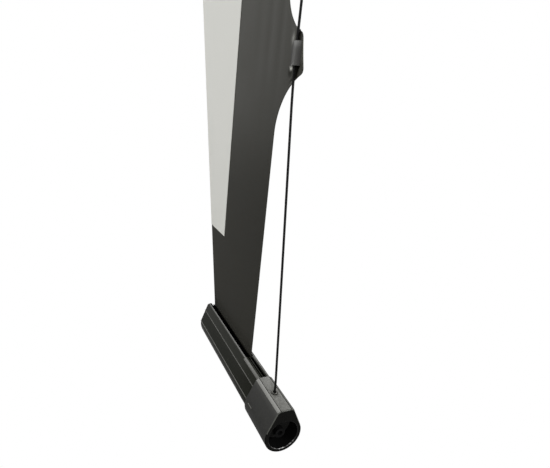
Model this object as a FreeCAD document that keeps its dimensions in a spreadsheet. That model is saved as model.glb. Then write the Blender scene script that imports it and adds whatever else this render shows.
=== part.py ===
import FreeCAD, Part
import math
import os
import Sketcher

# Motorized projection screen with tab tension, shown lowered: a 100 inch picture of 16:9.
# Frame: X runs along the screen, +Y points into the wall and +Z up. The origin is the middle
# of the wall bolt pattern, on the wall. Lengths are millimetres.

SIZES = (
    # Picture and cloth
    ("viewing_width", 2214.0),
    ("viewing_height", 1245.0),
    ("side_border", 94.0),
    ("bottom_border", 85.0),
    ("top_drop", 305.0),
    ("cloth_thickness", 0.4),
    ("coat_thickness", 0.25),
    # Tabs on the cloth's edges
    ("tab_count", 5),
    ("tab_pitch", 290.0),
    ("lowest_tab", 257.0),
    ("lobe_reach", 34.0),
    ("lobe_overlap", 6.0),
    ("flap_half", 12.6),
    ("flap_round", 5.0),
    ("lobe_rise", 14.6),
    ("scallop_radius", 45.0),
    ("sleeve_height", 16.0),
    ("sleeve_width", 16.0),
    ("sleeve_wall", 0.4),
    ("sleeve_gap", 0.3),
    ("sleeve_flat", 0.3),
    # Tension cable
    ("cable_diameter", 1.9),
    ("cable_outset", 24.0),
    ("cable_gap", 0.05),
    ("cable_clear", 0.15),
    ("cable_exit", 6.0),
    ("cable_bend", 60.0),
    # Weight bar section
    ("bar_top_half", 3.7),
    ("bar_top_drop", 0.3),
    ("lip_half", 6.1),
    ("lip_drop", 1.7),
    ("bar_radius", 14.0),
    ("bar_wall", 1.8),
    ("round_drop", 23.2),
    ("slot_width", 1.8),
    ("rib_width", 0.8),
    ("rib_drop", 0.7),
    ("groove_width", 1.6),
    ("groove_depth", 2.2),
    ("lip_thickness", 2.5),
    ("channel_width", 6.0),
    ("channel_height", 6.4),
    ("web_thickness", 4.6),
    ("bead_radius", 0.5),
    ("upper_bead_drop", 8.25),
    ("lower_bead_drop", 19.9),
    ("hem_rod_diameter", 4.0),
    ("hem_gap", 0.05),
    ("ballast_width", 14.0),
    ("ballast_thickness", 8.0),
    ("ballast_inset", 30.0),
    # Weight bar end caps
    ("cap_length", 44.0),
    ("cap_radius", 15.7),
    ("cap_top_half", 4.8),
    ("strip_half", 7.2),
    ("strip_drop", 1.5),
    ("ridge_groove", 0.5),
    ("cap_end_round", 0.9),
    ("cap_start_round", 1.2),
    ("spigot_length", 14.0),
    ("spigot_gap", 0.2),
    ("recess_radius", 12.6),
    ("recess_depth", 13.0),
    ("cavity_half", 5.0),
    ("cavity_top", 8.0),
    ("cavity_gap", 1.5),
    ("cavity_room", 3.0),
    ("cap_screw_diameter", 3.0),
    ("cap_screw_length", 6.0),
    ("cap_screw_head", 5.2),
    ("cap_screw_head_height", 1.4),
    # Cable fittings in the end caps
    ("eyelet_outset", 53.0),
    ("eyelet_inset", 22.0),
    ("eyelet_flange", 5.8),
    ("eyelet_rise", 1.2),
    ("eyelet_round", 0.5),
    ("eyelet_shank", 4.4),
    ("eyelet_bore", 2.5),
    ("post_radius", 4.0),
    ("post_drop", 12.6),
    # Cable tension screws
    ("screw_diameter", 5.0),
    ("screw_drop", 2.5),
    ("screw_head", 8.5),
    ("screw_head_height", 4.0),
    ("screw_head_room", 3.7),
    ("hex_key", 4.0),
    ("hex_depth", 2.5),
    ("slider_length", 14.0),
    ("slider_inset", 8.5),
    ("slider_gap", 0.3),
    ("socket_depth", 7.0),
    ("ferrule_length", 9.0),
    ("ferrule_diameter", 4.0),
    ("running_gap", 0.05),
    # Housing
    ("bracket_thickness", 3.0),
    ("house_drop", 24.0),
    ("housing_depth", 94.0),
    ("housing_height", 103.0),
    ("housing_wall", 2.0),
    ("front_round", 14.0),
    ("lower_round", 8.0),
    ("end_room", 8.5),
    ("slot_lip", 2.0),
    ("bar_room", 2.3),
    ("ledge_width", 16.0),
    ("rail_inset", 11.0),
    ("rail_mouth", 7.0),
    ("rail_width", 14.0),
    ("rail_depth", 5.0),
    ("port_radius", 4.2),
    ("port_inset", 3.2),
    ("port_low_drop", 86.0),
    ("port_rear_drop", 60.0),
    ("cover_gap", 0.4),
    ("cover_lip", 12.0),
    ("tongue_thickness", 1.6),
    ("cover_screw_count", 6),
    ("cover_screw_inset", 60.0),
    ("small_screw_diameter", 3.0),
    ("small_head_diameter", 5.6),
    ("small_head_height", 1.8),
    ("screw_hole_gap", 0.2),
    # Housing ends
    ("end_cap_thickness", 15.0),
    ("end_cap_wall", 2.5),
    ("end_cap_face", 3.0),
    ("end_cap_round", 2.0),
    ("plate_thickness", 3.0),
    ("plate_gap", 0.3),
    ("cap_post_radius", 5.0),
    ("end_screw_length", 30.0),
    ("gland_bore", 7.0),
    ("gland_body", 12.0),
    ("gland_flange", 17.0),
    ("gland_flange_thickness", 2.5),
    ("gland_depth", 9.0),
    ("gland_forward", 17.0),
    ("gland_drop", 47.0),
    # Roller and motor
    ("tube_diameter", 60.0),
    ("tube_wall", 1.6),
    ("tube_end_room", 23.0),
    ("roll_room", 39.0),
    ("wrap_gap", 0.3),
    ("key_width", 10.0),
    ("key_depth", 7.0),
    ("key_wall", 1.5),
    ("spline_diameter", 4.4),
    ("fit_gap", 0.1),
    ("motor_diameter", 45.0),
    ("motor_length", 470.0),
    ("motor_head_diameter", 48.0),
    ("crown_length", 18.0),
    ("drive_shaft_diameter", 12.0),
    ("drive_shaft_seat", 10.0),
    ("wheel_length", 20.0),
    ("wheel_gap", 5.0),
    ("shaft_end", 5.0),
    ("plug_length", 40.0),
    ("idler_pin_diameter", 10.0),
    ("idler_pin_reach", 5.0),
    ("bush_diameter", 18.0),
    ("bush_flange", 24.0),
    ("bush_flange_thickness", 4.0),
    ("motor_screw_offset", 16.0),
    ("motor_screw_diameter", 4.0),
    ("motor_screw_length", 16.0),
    ("motor_screw_head", 7.0),
    ("motor_screw_head_height", 3.0),
    ("limit_screw_offset", 12.0),
    ("limit_screw_diameter", 6.0),
    ("limit_screw_length", 14.0),
    ("limit_screw_rise", 2.0),
    ("limit_access", 5.0),
    # Control box
    ("box_length", 120.0),
    ("box_width", 30.0),
    ("box_height", 16.0),
    ("box_wall", 1.8),
    ("box_ledge", 2.0),
    ("box_ledge_height", 5.0),
    ("box_inset", 85.0),
    ("box_gap", 0.6),
    ("lid_thickness", 2.0),
    ("board_thickness", 1.6),
    ("board_gap", 0.2),
    ("lead_diameter", 4.5),
    ("lead_bend", 18.0),
    ("lead_seat", 3.5),
    ("eye_diameter", 9.0),
    ("eye_flange", 13.0),
    ("eye_flange_thickness", 1.5),
    ("eye_rise", 0.8),
    ("eye_inset", 135.0),
    ("eye_drop", 71.0),
    # Wall brackets
    ("bracket_spacing", 1900.0),
    ("bracket_width", 80.0),
    ("bracket_above", 24.0),
    ("bracket_below", 60.0),
    ("arm_reach", 30.0),
    ("arm_thickness", 4.0),
    ("wall_hole_diameter", 6.6),
    ("wall_hole_spacing", 20.0),
    ("bolt_spacing", 50.0),
    ("bolt_diameter", 6.0),
    ("bolt_head", 10.0),
    ("bolt_head_height", 6.0),
    ("nut_length", 16.0),
    ("nut_thickness", 4.5),
    ("nut_gap", 0.5),
)

doc = FreeCAD.newDocument("ProjectionScreen")
sheet = doc.addObject("Spreadsheet::Sheet", "Sizes")
nodes = {}


class Dim:
    """A length together with the sheet expression that gives it."""

    def __init__(self, value, text):
        self.value = value
        self.text = text

    @staticmethod
    def of(other):
        """Takes a plain number as a length of its own."""
        if isinstance(other, Dim):
            return other
        return Dim(float(other), repr(float(other)))

    def __add__(self, other):
        other = Dim.of(other)
        return Dim(self.value + other.value, f"({self.text} + {other.text})")

    def __sub__(self, other):
        other = Dim.of(other)
        return Dim(self.value - other.value, f"({self.text} - {other.text})")

    def __mul__(self, other):
        other = Dim.of(other)
        return Dim(self.value * other.value, f"({self.text} * {other.text})")

    def __truediv__(self, other):
        other = Dim.of(other)
        return Dim(self.value / other.value, f"({self.text} / {other.text})")

    def __neg__(self):
        return Dim(-self.value, f"(-1 * {self.text})")


class SizeTable:
    """Gives each driving size by its alias."""

    def __init__(self, rows):
        for row, (alias, value) in enumerate(rows, 1):
            sheet.set(f"A{row}", alias)
            sheet.set(f"B{row}", str(value))
            sheet.setAlias(f"B{row}", alias)
            setattr(self, alias, Dim(float(value), f"Sizes.{alias}"))


size = SizeTable(SIZES)
doc.recompute()

ZERO = Dim.of(0)
HALF_TURN = 180.0
TINY = 1e-6


class Profile:
    """A sketch on one of its body's own planes, drawn as closed loops tied to the sheet."""

    def __init__(self, body, plane, offset):
        self.sketch = body.newObject("Sketcher::SketchObject", "Profile")
        support = next(item for item in body.Origin.OriginFeatures if item.Role == plane)
        self.sketch.AttachmentSupport = [(support, "")]
        self.sketch.MapMode = "FlatFace"
        self.sketch.setExpression(".AttachmentOffset.Base.z", Dim.of(offset).text)

    def _tie(self, kind, where, dim):
        """Adds one dimension and binds it to its expression."""
        index = self.sketch.addConstraint(Sketcher.Constraint(kind, *where, dim.value))
        name = f"dim{index}"
        self.sketch.renameConstraint(index, name)
        self.sketch.setExpression(f"Constraints.{name}", dim.text)

    def _pin(self, geometry, position, across, up):
        """Holds a point at its distances from the origin."""
        self._tie("DistanceX", (-1, 1, geometry, position), across)
        self._tie("DistanceY", (-1, 1, geometry, position), up)

    def _join(self, kind, first, first_end, second, second_end):
        self.sketch.addConstraint(Sketcher.Constraint(kind, first, first_end, second, second_end))

    def circle(self, across, up, radius):
        """A full circle."""
        across, up, radius = Dim.of(across), Dim.of(up), Dim.of(radius)
        centre = FreeCAD.Vector(across.value, up.value, 0)
        shape = Part.Circle(centre, FreeCAD.Vector(0, 0, 1), radius.value)
        index = self.sketch.addGeometry(shape, False)
        self._pin(index, 3, across, up)
        self._tie("Radius", (index,), radius)
        return self

    def rectangle(self, left, low, right, high):
        """A rectangle between two corners."""
        return self.loop([(left, low), (right, low), (right, high), (left, high)])

    def loop(self, corners):
        """Straight edges through the corners; a corner's third value rounds it."""
        points = [FreeCAD.Vector(Dim.of(c[0]).value, Dim.of(c[1]).value, 0) for c in corners]
        count = len(points)
        arrive, leave, bends = [], [], []
        for i, corner in enumerate(corners):
            before = (points[i] - points[i - 1]).normalize()
            after = (points[(i + 1) % count] - points[i]).normalize()
            if len(corner) < 3:
                arrive.append(points[i])
                leave.append(points[i])
                bends.append(None)
                continue
            radius = Dim.of(corner[2])
            turn = before.getAngle(after)
            reach = radius.value * math.tan(turn / 2)
            start = points[i] - before * reach
            finish = points[i] + after * reach
            left = before.cross(after).z > 0
            side = FreeCAD.Vector(-before.y, before.x, 0) * (1 if left else -1)
            centre = start + side * radius.value
            arrive.append(start)
            leave.append(finish)
            bends.append((centre, radius, left))
        lines = []
        for i in range(count):
            edge = Part.LineSegment(leave[i], arrive[(i + 1) % count])
            lines.append(self.sketch.addGeometry(edge, False))
        for i, corner in enumerate(corners):
            across, up = Dim.of(corner[0]), Dim.of(corner[1])
            before, after = lines[i - 1], lines[i]
            if bends[i] is None:
                self._join("Coincident", before, 2, after, 1)
                self._pin(after, 1, across, up)
                continue
            self._bend(before, after, bends[i], arrive[i], leave[i], (points[i], across, up))
        return self

    def _bend(self, before, after, bend, start, finish, corner):
        """Rounds one corner with an arc and keeps the corner itself as a helper point."""
        centre, radius, left = bend
        first, second = (start, finish) if left else (finish, start)
        angles = [math.atan2(p.y - centre.y, p.x - centre.x) for p in (first, second)]
        circle = Part.Circle(centre, FreeCAD.Vector(0, 0, 1), radius.value)
        arc = self.sketch.addGeometry(Part.ArcOfCircle(circle, *angles), False)
        self._join("Tangent", before, 2, arc, 1 if left else 2)
        self._join("Tangent", arc, 2 if left else 1, after, 1)
        self._tie("Radius", (arc,), radius)
        point, across, up = corner
        helper = self.sketch.addGeometry(Part.Point(point), True)
        self.sketch.addConstraint(Sketcher.Constraint("PointOnObject", helper, 1, before))
        self.sketch.addConstraint(Sketcher.Constraint("PointOnObject", helper, 1, after))
        self._pin(helper, 1, across, up)

    def drop(self, middle, top, half_corners, round_drop, radius):
        """A teardrop: corners down each side, then flats that run tangent into a round bottom."""
        right = [(middle + half, top - fall) for half, fall in half_corners]
        left = [(middle - half, top - fall) for half, fall in half_corners]
        chain = left[::-1] + right
        centre_up = top - round_drop
        centre = FreeCAD.Vector(middle.value, centre_up.value, 0)
        tangents = []
        for across, up in (right[-1], left[-1]):
            spoke = FreeCAD.Vector(across.value, up.value, 0) - centre
            swing = math.acos(radius.value / spoke.Length) * (-1 if spoke.x > 0 else 1)
            angle = math.atan2(spoke.y, spoke.x) + swing
            heading = FreeCAD.Vector(math.cos(angle), math.sin(angle), 0)
            tangents.append((angle, centre + heading * radius.value))
        points = [FreeCAD.Vector(across.value, up.value, 0) for across, up in chain]
        lines = []
        for start, finish in zip(points, points[1:]):
            lines.append(self.sketch.addGeometry(Part.LineSegment(start, finish), False))
        down = self.sketch.addGeometry(Part.LineSegment(points[-1], tangents[0][1]), False)
        rise = self.sketch.addGeometry(Part.LineSegment(tangents[1][1], points[0]), False)
        circle = Part.Circle(centre, FreeCAD.Vector(0, 0, 1), radius.value)
        belly = self.sketch.addGeometry(Part.ArcOfCircle(circle, tangents[1][0], tangents[0][0]), False)
        ring = [rise] + lines + [down]
        for (across, up), before, after in zip(chain, ring, ring[1:]):
            self._join("Coincident", before, 2, after, 1)
            self._pin(after, 1, across, up)
        self._join("Tangent", down, 2, belly, 2)
        self._join("Tangent", belly, 1, rise, 1)
        self._pin(belly, 3, middle, centre_up)
        self._tie("Radius", (belly,), radius)
        return self

    def dee(self, middle, centre_up, radius, flat_up):
        """A round with a flat top."""
        half = math.sqrt(radius.value ** 2 - (flat_up.value - centre_up.value) ** 2)
        centre = FreeCAD.Vector(middle.value, centre_up.value, 0)
        right = FreeCAD.Vector(middle.value + half, flat_up.value, 0)
        left = FreeCAD.Vector(middle.value - half, flat_up.value, 0)
        angles = [math.atan2(p.y - centre.y, p.x - centre.x) for p in (left, right)]
        circle = Part.Circle(centre, FreeCAD.Vector(0, 0, 1), radius.value)
        belly = self.sketch.addGeometry(Part.ArcOfCircle(circle, *angles), False)
        flat = self.sketch.addGeometry(Part.LineSegment(right, left), False)
        self._join("Coincident", belly, 2, flat, 1)
        self._join("Coincident", flat, 2, belly, 1)
        self.sketch.addConstraint(Sketcher.Constraint("Horizontal", flat))
        self._pin(belly, 3, middle, centre_up)
        self._tie("Radius", (belly,), radius)
        self._tie("DistanceY", (-1, 1, flat, 1), flat_up)
        return self


def new_body(label):
    """An empty body under its own label."""
    body = doc.addObject("PartDesign::Body", label)
    body.Label = label
    return body


def pad(body, profile, length):
    """Adds a profile's extrusion along the sketch normal."""
    feature = body.newObject("PartDesign::Pad", "Pad")
    feature.Profile = profile.sketch
    feature.setExpression("Length", Dim.of(length).text)
    return feature


def pocket(body, profile, length):
    """Cuts a profile's extrusion along the sketch normal."""
    feature = body.newObject("PartDesign::Pocket", "Pocket")
    feature.Profile = profile.sketch
    feature.Reversed = True
    feature.setExpression("Length", Dim.of(length).text)
    return feature


def edges_where(shape, test):
    """Names the edges whose every end passes a test."""
    names = []
    for number, edge in enumerate(shape.Edges, 1):
        if all(test(vertex.Point) for vertex in edge.Vertexes):
            names.append(f"Edge{number}")
    return names


def fillet(body, base, names, radius):
    """Rounds edges of a body's last feature."""
    feature = body.newObject("PartDesign::Fillet", "Fillet")
    feature.Base = (base, names)
    feature.setExpression("Radius", Dim.of(radius).text)
    return feature


def place(item, x, y, z, turn=None):
    """Puts a primitive at a point tied to the sheet, turned first if it needs to be."""
    if turn is not None:
        item.Placement = FreeCAD.Placement(FreeCAD.Vector(), turn)
    for axis, where in zip("xyz", (x, y, z)):
        item.setExpression(f".Placement.Base.{axis}", Dim.of(where).text)
    return item


ALONG = {
    "x": FreeCAD.Rotation(FreeCAD.Vector(0, 1, 0), HALF_TURN / 2),
    "y": FreeCAD.Rotation(FreeCAD.Vector(1, 0, 0), -HALF_TURN / 2),
    "z": FreeCAD.Rotation(),
}


def cylinder(radius, length, x, y, z, axis):
    """A round bar that starts at a point and runs along a positive axis."""
    item = doc.addObject("Part::Cylinder", "Round")
    item.setExpression("Radius", Dim.of(radius).text)
    item.setExpression("Height", Dim.of(length).text)
    return place(item, x, y, z, ALONG[axis])


def box(length, width, height, x, y, z):
    """A block from its lowest corner."""
    item = doc.addObject("Part::Box", "Block")
    item.setExpression("Length", Dim.of(length).text)
    item.setExpression("Width", Dim.of(width).text)
    item.setExpression("Height", Dim.of(height).text)
    return place(item, x, y, z)


def join(*items):
    """Fuses primitives into one solid."""
    item = doc.addObject("Part::MultiFuse", "Joined")
    item.Shapes = list(items)
    return item


def remove(base, *tools):
    """Cuts tools out of a base one after another."""
    for tool in tools:
        item = doc.addObject("Part::Cut", "Trimmed")
        item.Base = base
        item.Tool = tool
        base = item
    return base


def keep(label, item):
    """Names an object as one of the screen's pieces."""
    item.Label = label
    nodes[label] = item
    return item


def mirror(label, source):
    """The other side's piece, mirrored across the screen's middle plane."""
    item = doc.addObject("Part::Mirroring", label)
    item.Source = source
    item.Normal = FreeCAD.Vector(1, 0, 0)
    item.Base = FreeCAD.Vector(0, 0, 0)
    return keep(label, item)


def group(label, source, shifts):
    """One node of loose copies of a piece, each moved by its own shift."""
    doc.recompute()
    copies = [source.Shape.translated(FreeCAD.Vector(*shift)) for shift in shifts]
    item = doc.addObject("Part::Feature", label)
    item.Shape = Part.makeCompound(copies)
    return keep(label, item)


def tube_along(label, points, radii, radius):
    """A round cord along straight runs that tangent arcs join."""
    edges = []
    start = points[0]
    for before, corner, after, bend in zip(points, points[1:], points[2:], radii):
        inward = (corner - before).normalize()
        outward = (after - corner).normalize()
        turn = inward.getAngle(outward)
        reach = bend * math.tan(turn / 2)
        first = corner - inward * reach
        last = corner + outward * reach
        inner = (outward - inward).normalize()
        middle = corner + inner * (bend / math.cos(turn / 2) - bend)
        edges.append(Part.LineSegment(start, first).toShape())
        edges.append(Part.Arc(first, middle, last).toShape())
        start = last
    edges.append(Part.LineSegment(start, points[-1]).toShape())
    path = Part.Wire(edges)
    heading = (points[1] - points[0]).normalize()
    section = Part.Wire(Part.Circle(points[0], heading, radius).toShape())
    item = doc.addObject("Part::Feature", label)
    item.Shape = Part.Solid(path.makePipeShell([section], True, True))
    expected = math.pi * radius ** 2 * path.Length
    if abs(item.Shape.Volume - expected) > 0.01 * expected:
        raise RuntimeError(f"{label} volume {item.Shape.Volume:.1f} is not {expected:.1f}")
    print(f"{label}: length {path.Length:.1f}, bends {[round(bend, 1) for bend in radii]}")
    return keep(label, item)


# Places along the screen, from its middle to its right end
edge_x = size.viewing_width / 2 + size.side_border
cable_x = edge_x + size.cable_outset
eyelet_x = edge_x + size.eyelet_outset
cap_end_x = eyelet_x + size.eyelet_inset
cap_start_x = cap_end_x - size.cap_length
house_x = cap_end_x + size.end_room
tube_x = house_x - size.tube_end_room

# Depths, from the wall forward
house_rear = -size.bracket_thickness
house_front = house_rear - size.housing_depth
slot_rear = house_rear - size.housing_wall - size.slot_lip
bar_y = slot_rear - size.bar_room - size.cap_radius
slot_front = bar_y - size.cap_radius - size.bar_room
cloth_front = bar_y + size.cable_diameter / 2 + size.cable_gap
cloth_rear = cloth_front + size.cloth_thickness
roller_y = bar_y - size.cable_diameter / 2 - size.cable_clear - size.tube_diameter / 2
rail_y = house_rear - size.rail_inset

# Heights, from the bolt pattern down
house_top = -size.house_drop
house_low = house_top - size.housing_height
roller_z = house_top - size.housing_wall - size.roll_room
picture_low = house_low - size.top_drop - size.viewing_height
bar_z = picture_low - size.bottom_border
bar_round_z = bar_z - size.round_drop
channel_top = bar_z - size.bar_top_drop - size.lip_thickness
channel_low = channel_top - size.channel_height
hollow_top = channel_low - size.web_thickness
hollow_radius = size.bar_radius - size.bar_wall
lowest_tab_z = bar_z + size.lowest_tab
tension_z = bar_round_z - size.screw_drop
cable_low_z = bar_z - size.post_drop - size.post_radius - size.cable_diameter / 2

# Inner faces of the housing
inner_front = house_front + size.housing_wall
inner_rear = house_rear - size.housing_wall
inner_top = house_top - size.housing_wall
inner_low = house_low + size.housing_wall

# Front ledge of the housing, and the cover that hangs on it
ledge_y = house_front + size.ledge_width
hinge_y = ledge_y + size.cover_gap
tongue_rear = hinge_y + size.housing_wall * 2

# Cord entry, and the two runs of the motor's lead
gland_y = roller_y - size.gland_forward
gland_z = roller_z - size.gland_drop
lead_x = size.tube_end_room / 2 - house_x
lead_z = inner_low + size.box_height - size.lead_diameter

# Screw ports of the housing extrusion, as depth and height
PORTS = (
    (inner_front + size.port_inset, inner_top - size.port_inset),
    (inner_front + size.port_inset, house_top - size.port_low_drop),
    (inner_rear - size.port_inset, house_top - size.port_rear_drop),
)


def make_cloth():
    """The black cloth with its tab lobes, and the white layer on its front."""
    cloth = new_body("backing_fabric")
    sheet_outline = Profile(cloth, "XZ_Plane", -cloth_rear).rectangle(-edge_x, bar_z, edge_x, roller_z)
    pad(cloth, sheet_outline, size.cloth_thickness)
    lobes = Profile(cloth, "XZ_Plane", -cloth_rear)
    low_flap, high_flap = lowest_tab_z - size.flap_half, lowest_tab_z + size.flap_half
    low_root, high_root = low_flap - size.lobe_rise, high_flap + size.lobe_rise
    low_foot, high_foot = low_root - size.scallop_radius, high_root + size.scallop_radius
    for side in (1, -1):
        inside = (edge_x - size.lobe_overlap) * side
        edge = edge_x * side
        outside = (edge_x + size.lobe_reach) * side
        lobes.loop([
            (inside, low_foot),
            (edge, low_foot),
            (edge, low_root, size.scallop_radius),
            (outside, low_flap, size.flap_round),
            (outside, high_flap, size.flap_round),
            (edge, high_root, size.scallop_radius),
            (edge, high_foot),
            (inside, high_foot),
        ])
    lobe_pad = pad(cloth, lobes, size.cloth_thickness)
    tabs = cloth.newObject("PartDesign::LinearPattern", "Tabs")
    tabs.Originals = [lobe_pad]
    upward = next(item for item in cloth.Origin.OriginFeatures if item.Role == "Z_Axis")
    tabs.Direction = (upward, [""])
    tabs.setExpression("Length", (size.tab_pitch * (size.tab_count - 1)).text)
    tabs.setExpression("Occurrences", size.tab_count.text)
    cloth.Tip = tabs
    keep("backing_fabric", cloth)

    coat = new_body("viewing_surface")
    half = size.viewing_width / 2
    picture = Profile(coat, "XZ_Plane", -cloth_front)
    picture.rectangle(-half, picture_low, half, picture_low + size.viewing_height)
    pad(coat, picture, size.coat_thickness)
    keep("viewing_surface", coat)


def make_sleeves():
    """The welded sleeves that carry the cables along the tabs."""
    inner = size.cable_diameter / 2 + size.sleeve_gap
    outer = inner + size.sleeve_wall
    inner_round, outer_round = inner - size.sleeve_flat, outer - size.sleeve_flat
    flange_front = cloth_front - size.sleeve_wall
    for name, side in (("right", 1), ("left", -1)):
        sleeve = new_body(f"sleeve_{name}")
        middle = cable_x * side
        section = Profile(sleeve, "XY_Plane", lowest_tab_z - size.sleeve_height / 2)
        section.loop([
            (middle - size.sleeve_width / 2, cloth_front),
            (middle - size.sleeve_width / 2, flange_front),
            (middle - outer, flange_front),
            (middle - outer, bar_y - outer, outer_round),
            (middle + outer, bar_y - outer, outer_round),
            (middle + outer, flange_front),
            (middle + size.sleeve_width / 2, flange_front),
            (middle + size.sleeve_width / 2, cloth_front),
            (middle + inner, cloth_front),
            (middle + inner, bar_y - inner, inner_round),
            (middle - inner, bar_y - inner, inner_round),
            (middle - inner, cloth_front),
        ])
        pad(sleeve, section, size.sleeve_height)
        steps = range(int(size.tab_count.value))
        group(f"tab_sleeves_{name}", sleeve, [(0, 0, step * size.tab_pitch.value) for step in steps])


def make_cables():
    """The tension cables from the roller to the eyelets, and their tails inside the bar."""
    radius = size.cable_diameter.value / 2
    eyelet_top = bar_z.value + size.eyelet_rise.value
    sleeve_exit = lowest_tab_z.value - size.sleeve_height.value / 2 - size.cable_exit.value
    lead_in = size.cable_exit.value
    post_x = eyelet_x.value - size.post_radius.value - radius
    slider_out = cap_start_x.value - size.spigot_length.value - size.slider_inset.value
    tail_end = slider_out - size.slider_length.value - size.ferrule_length.value / 2
    for name, side in (("right", 1), ("left", -1)):
        route = (
            (cable_x.value, roller_z.value),
            (cable_x.value, sleeve_exit),
            (eyelet_x.value, eyelet_top + lead_in),
            (eyelet_x.value, eyelet_top),
        )
        points = [FreeCAD.Vector(side * x, bar_y.value, z) for x, z in route]
        tube_along(f"cable_{name}", points, [size.cable_bend.value] * 2, radius)
        tail = (
            (eyelet_x.value, eyelet_top),
            (eyelet_x.value, cable_low_z.value),
            (tail_end, cable_low_z.value),
        )
        points = [FreeCAD.Vector(side * x, bar_y.value, z) for x, z in tail]
        tube_along(f"cable_tail_{name}", points, [eyelet_x.value - post_x], radius)


def side_at(drop):
    """Half width of the weight bar's outside at a depth below the cap top."""
    corner_half, corner_drop = size.lip_half.value, size.lip_drop.value
    radius, centre_drop = size.bar_radius.value, size.round_drop.value
    spoke = math.hypot(corner_half, centre_drop - corner_drop)
    angle = math.atan2(centre_drop - corner_drop, corner_half) - math.acos(radius / spoke)
    if drop > centre_drop - radius * math.sin(angle):
        return math.sqrt(radius ** 2 - (drop - centre_drop) ** 2)
    return corner_half + (drop - corner_drop) * math.tan(angle)


def make_weight_bar():
    """The extrusion, its hem, and the ballast inside it."""
    bar = new_body("weight_bar")
    slot_y = (cloth_front + cloth_rear) / 2
    length = cap_start_x * 2
    section = Profile(bar, "YZ_Plane", -cap_start_x)
    shoulders = [(size.bar_top_half, size.bar_top_drop), (size.lip_half, size.lip_drop)]
    section.drop(bar_y, bar_z, shoulders, size.round_drop, size.bar_radius)
    channel_half = size.channel_width / 2
    section.rectangle(slot_y - channel_half, channel_low, slot_y + channel_half, channel_top)
    section.dee(bar_y, bar_round_z, hollow_radius, hollow_top)
    pad(bar, section, length)
    beads = Profile(bar, "YZ_Plane", -cap_start_x)
    for drop in (size.upper_bead_drop, size.lower_bead_drop):
        for side in (1, -1):
            beads.circle(bar_y + side_at(drop.value) * side, bar_z - drop, size.bead_radius)
    pad(bar, beads, length)
    slots = Profile(bar, "YZ_Plane", -cap_start_x)
    slot_front_y, slot_rear_y = slot_y - size.slot_width / 2, slot_y + size.slot_width / 2
    slots.rectangle(slot_front_y, channel_low + size.channel_height / 2, slot_rear_y, bar_z)
    groove_rear = slot_front_y - size.rib_width
    groove_low = bar_z - size.bar_top_drop - size.groove_depth
    slots.rectangle(groove_rear - size.groove_width, groove_low, groove_rear, bar_z)
    pocket(bar, slots, length)
    rib = Profile(bar, "YZ_Plane", -cap_start_x)
    rib.rectangle(groove_rear, bar_z - size.bar_top_drop - size.rib_drop, slot_front_y, bar_z)
    pocket(bar, rib, length)
    holes = Profile(bar, "XY_Plane", bar_z - size.round_drop - size.bar_radius)
    hole_x = cap_start_x - size.spigot_length / 2
    for side in (1, -1):
        holes.circle(hole_x * side, bar_y, size.cap_screw_diameter / 2 + size.screw_hole_gap)
    pocket(bar, holes, size.bar_wall * 2)
    keep("weight_bar", bar)

    rod_radius = size.hem_rod_diameter / 2
    rod_z = channel_top - size.channel_height / 2
    keep("hem_rod", cylinder(rod_radius, edge_x * 2, -edge_x, slot_y, rod_z, "x"))
    loop_inner = rod_radius + size.hem_gap
    loop = cylinder(loop_inner + size.cloth_thickness, edge_x * 2, -edge_x, slot_y, rod_z, "x")
    tail = box(edge_x * 2, size.cloth_thickness, bar_z - rod_z, -edge_x, cloth_front, rod_z)
    bore = cylinder(loop_inner, edge_x * 2, -edge_x, slot_y, rod_z, "x")
    keep("hem_loop", remove(join(loop, tail), bore))

    slider_in = cap_start_x - size.spigot_length - size.slider_inset - size.slider_length
    ballast_x = slider_in - size.ferrule_length - size.ballast_inset
    ballast_y = bar_y - size.ballast_width / 2
    ballast_z = hollow_top - size.ballast_thickness
    ballast = box(
        ballast_x * 2, size.ballast_width, size.ballast_thickness, -ballast_x, ballast_y, ballast_z
    )
    keep("ballast_bar", ballast)


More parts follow.
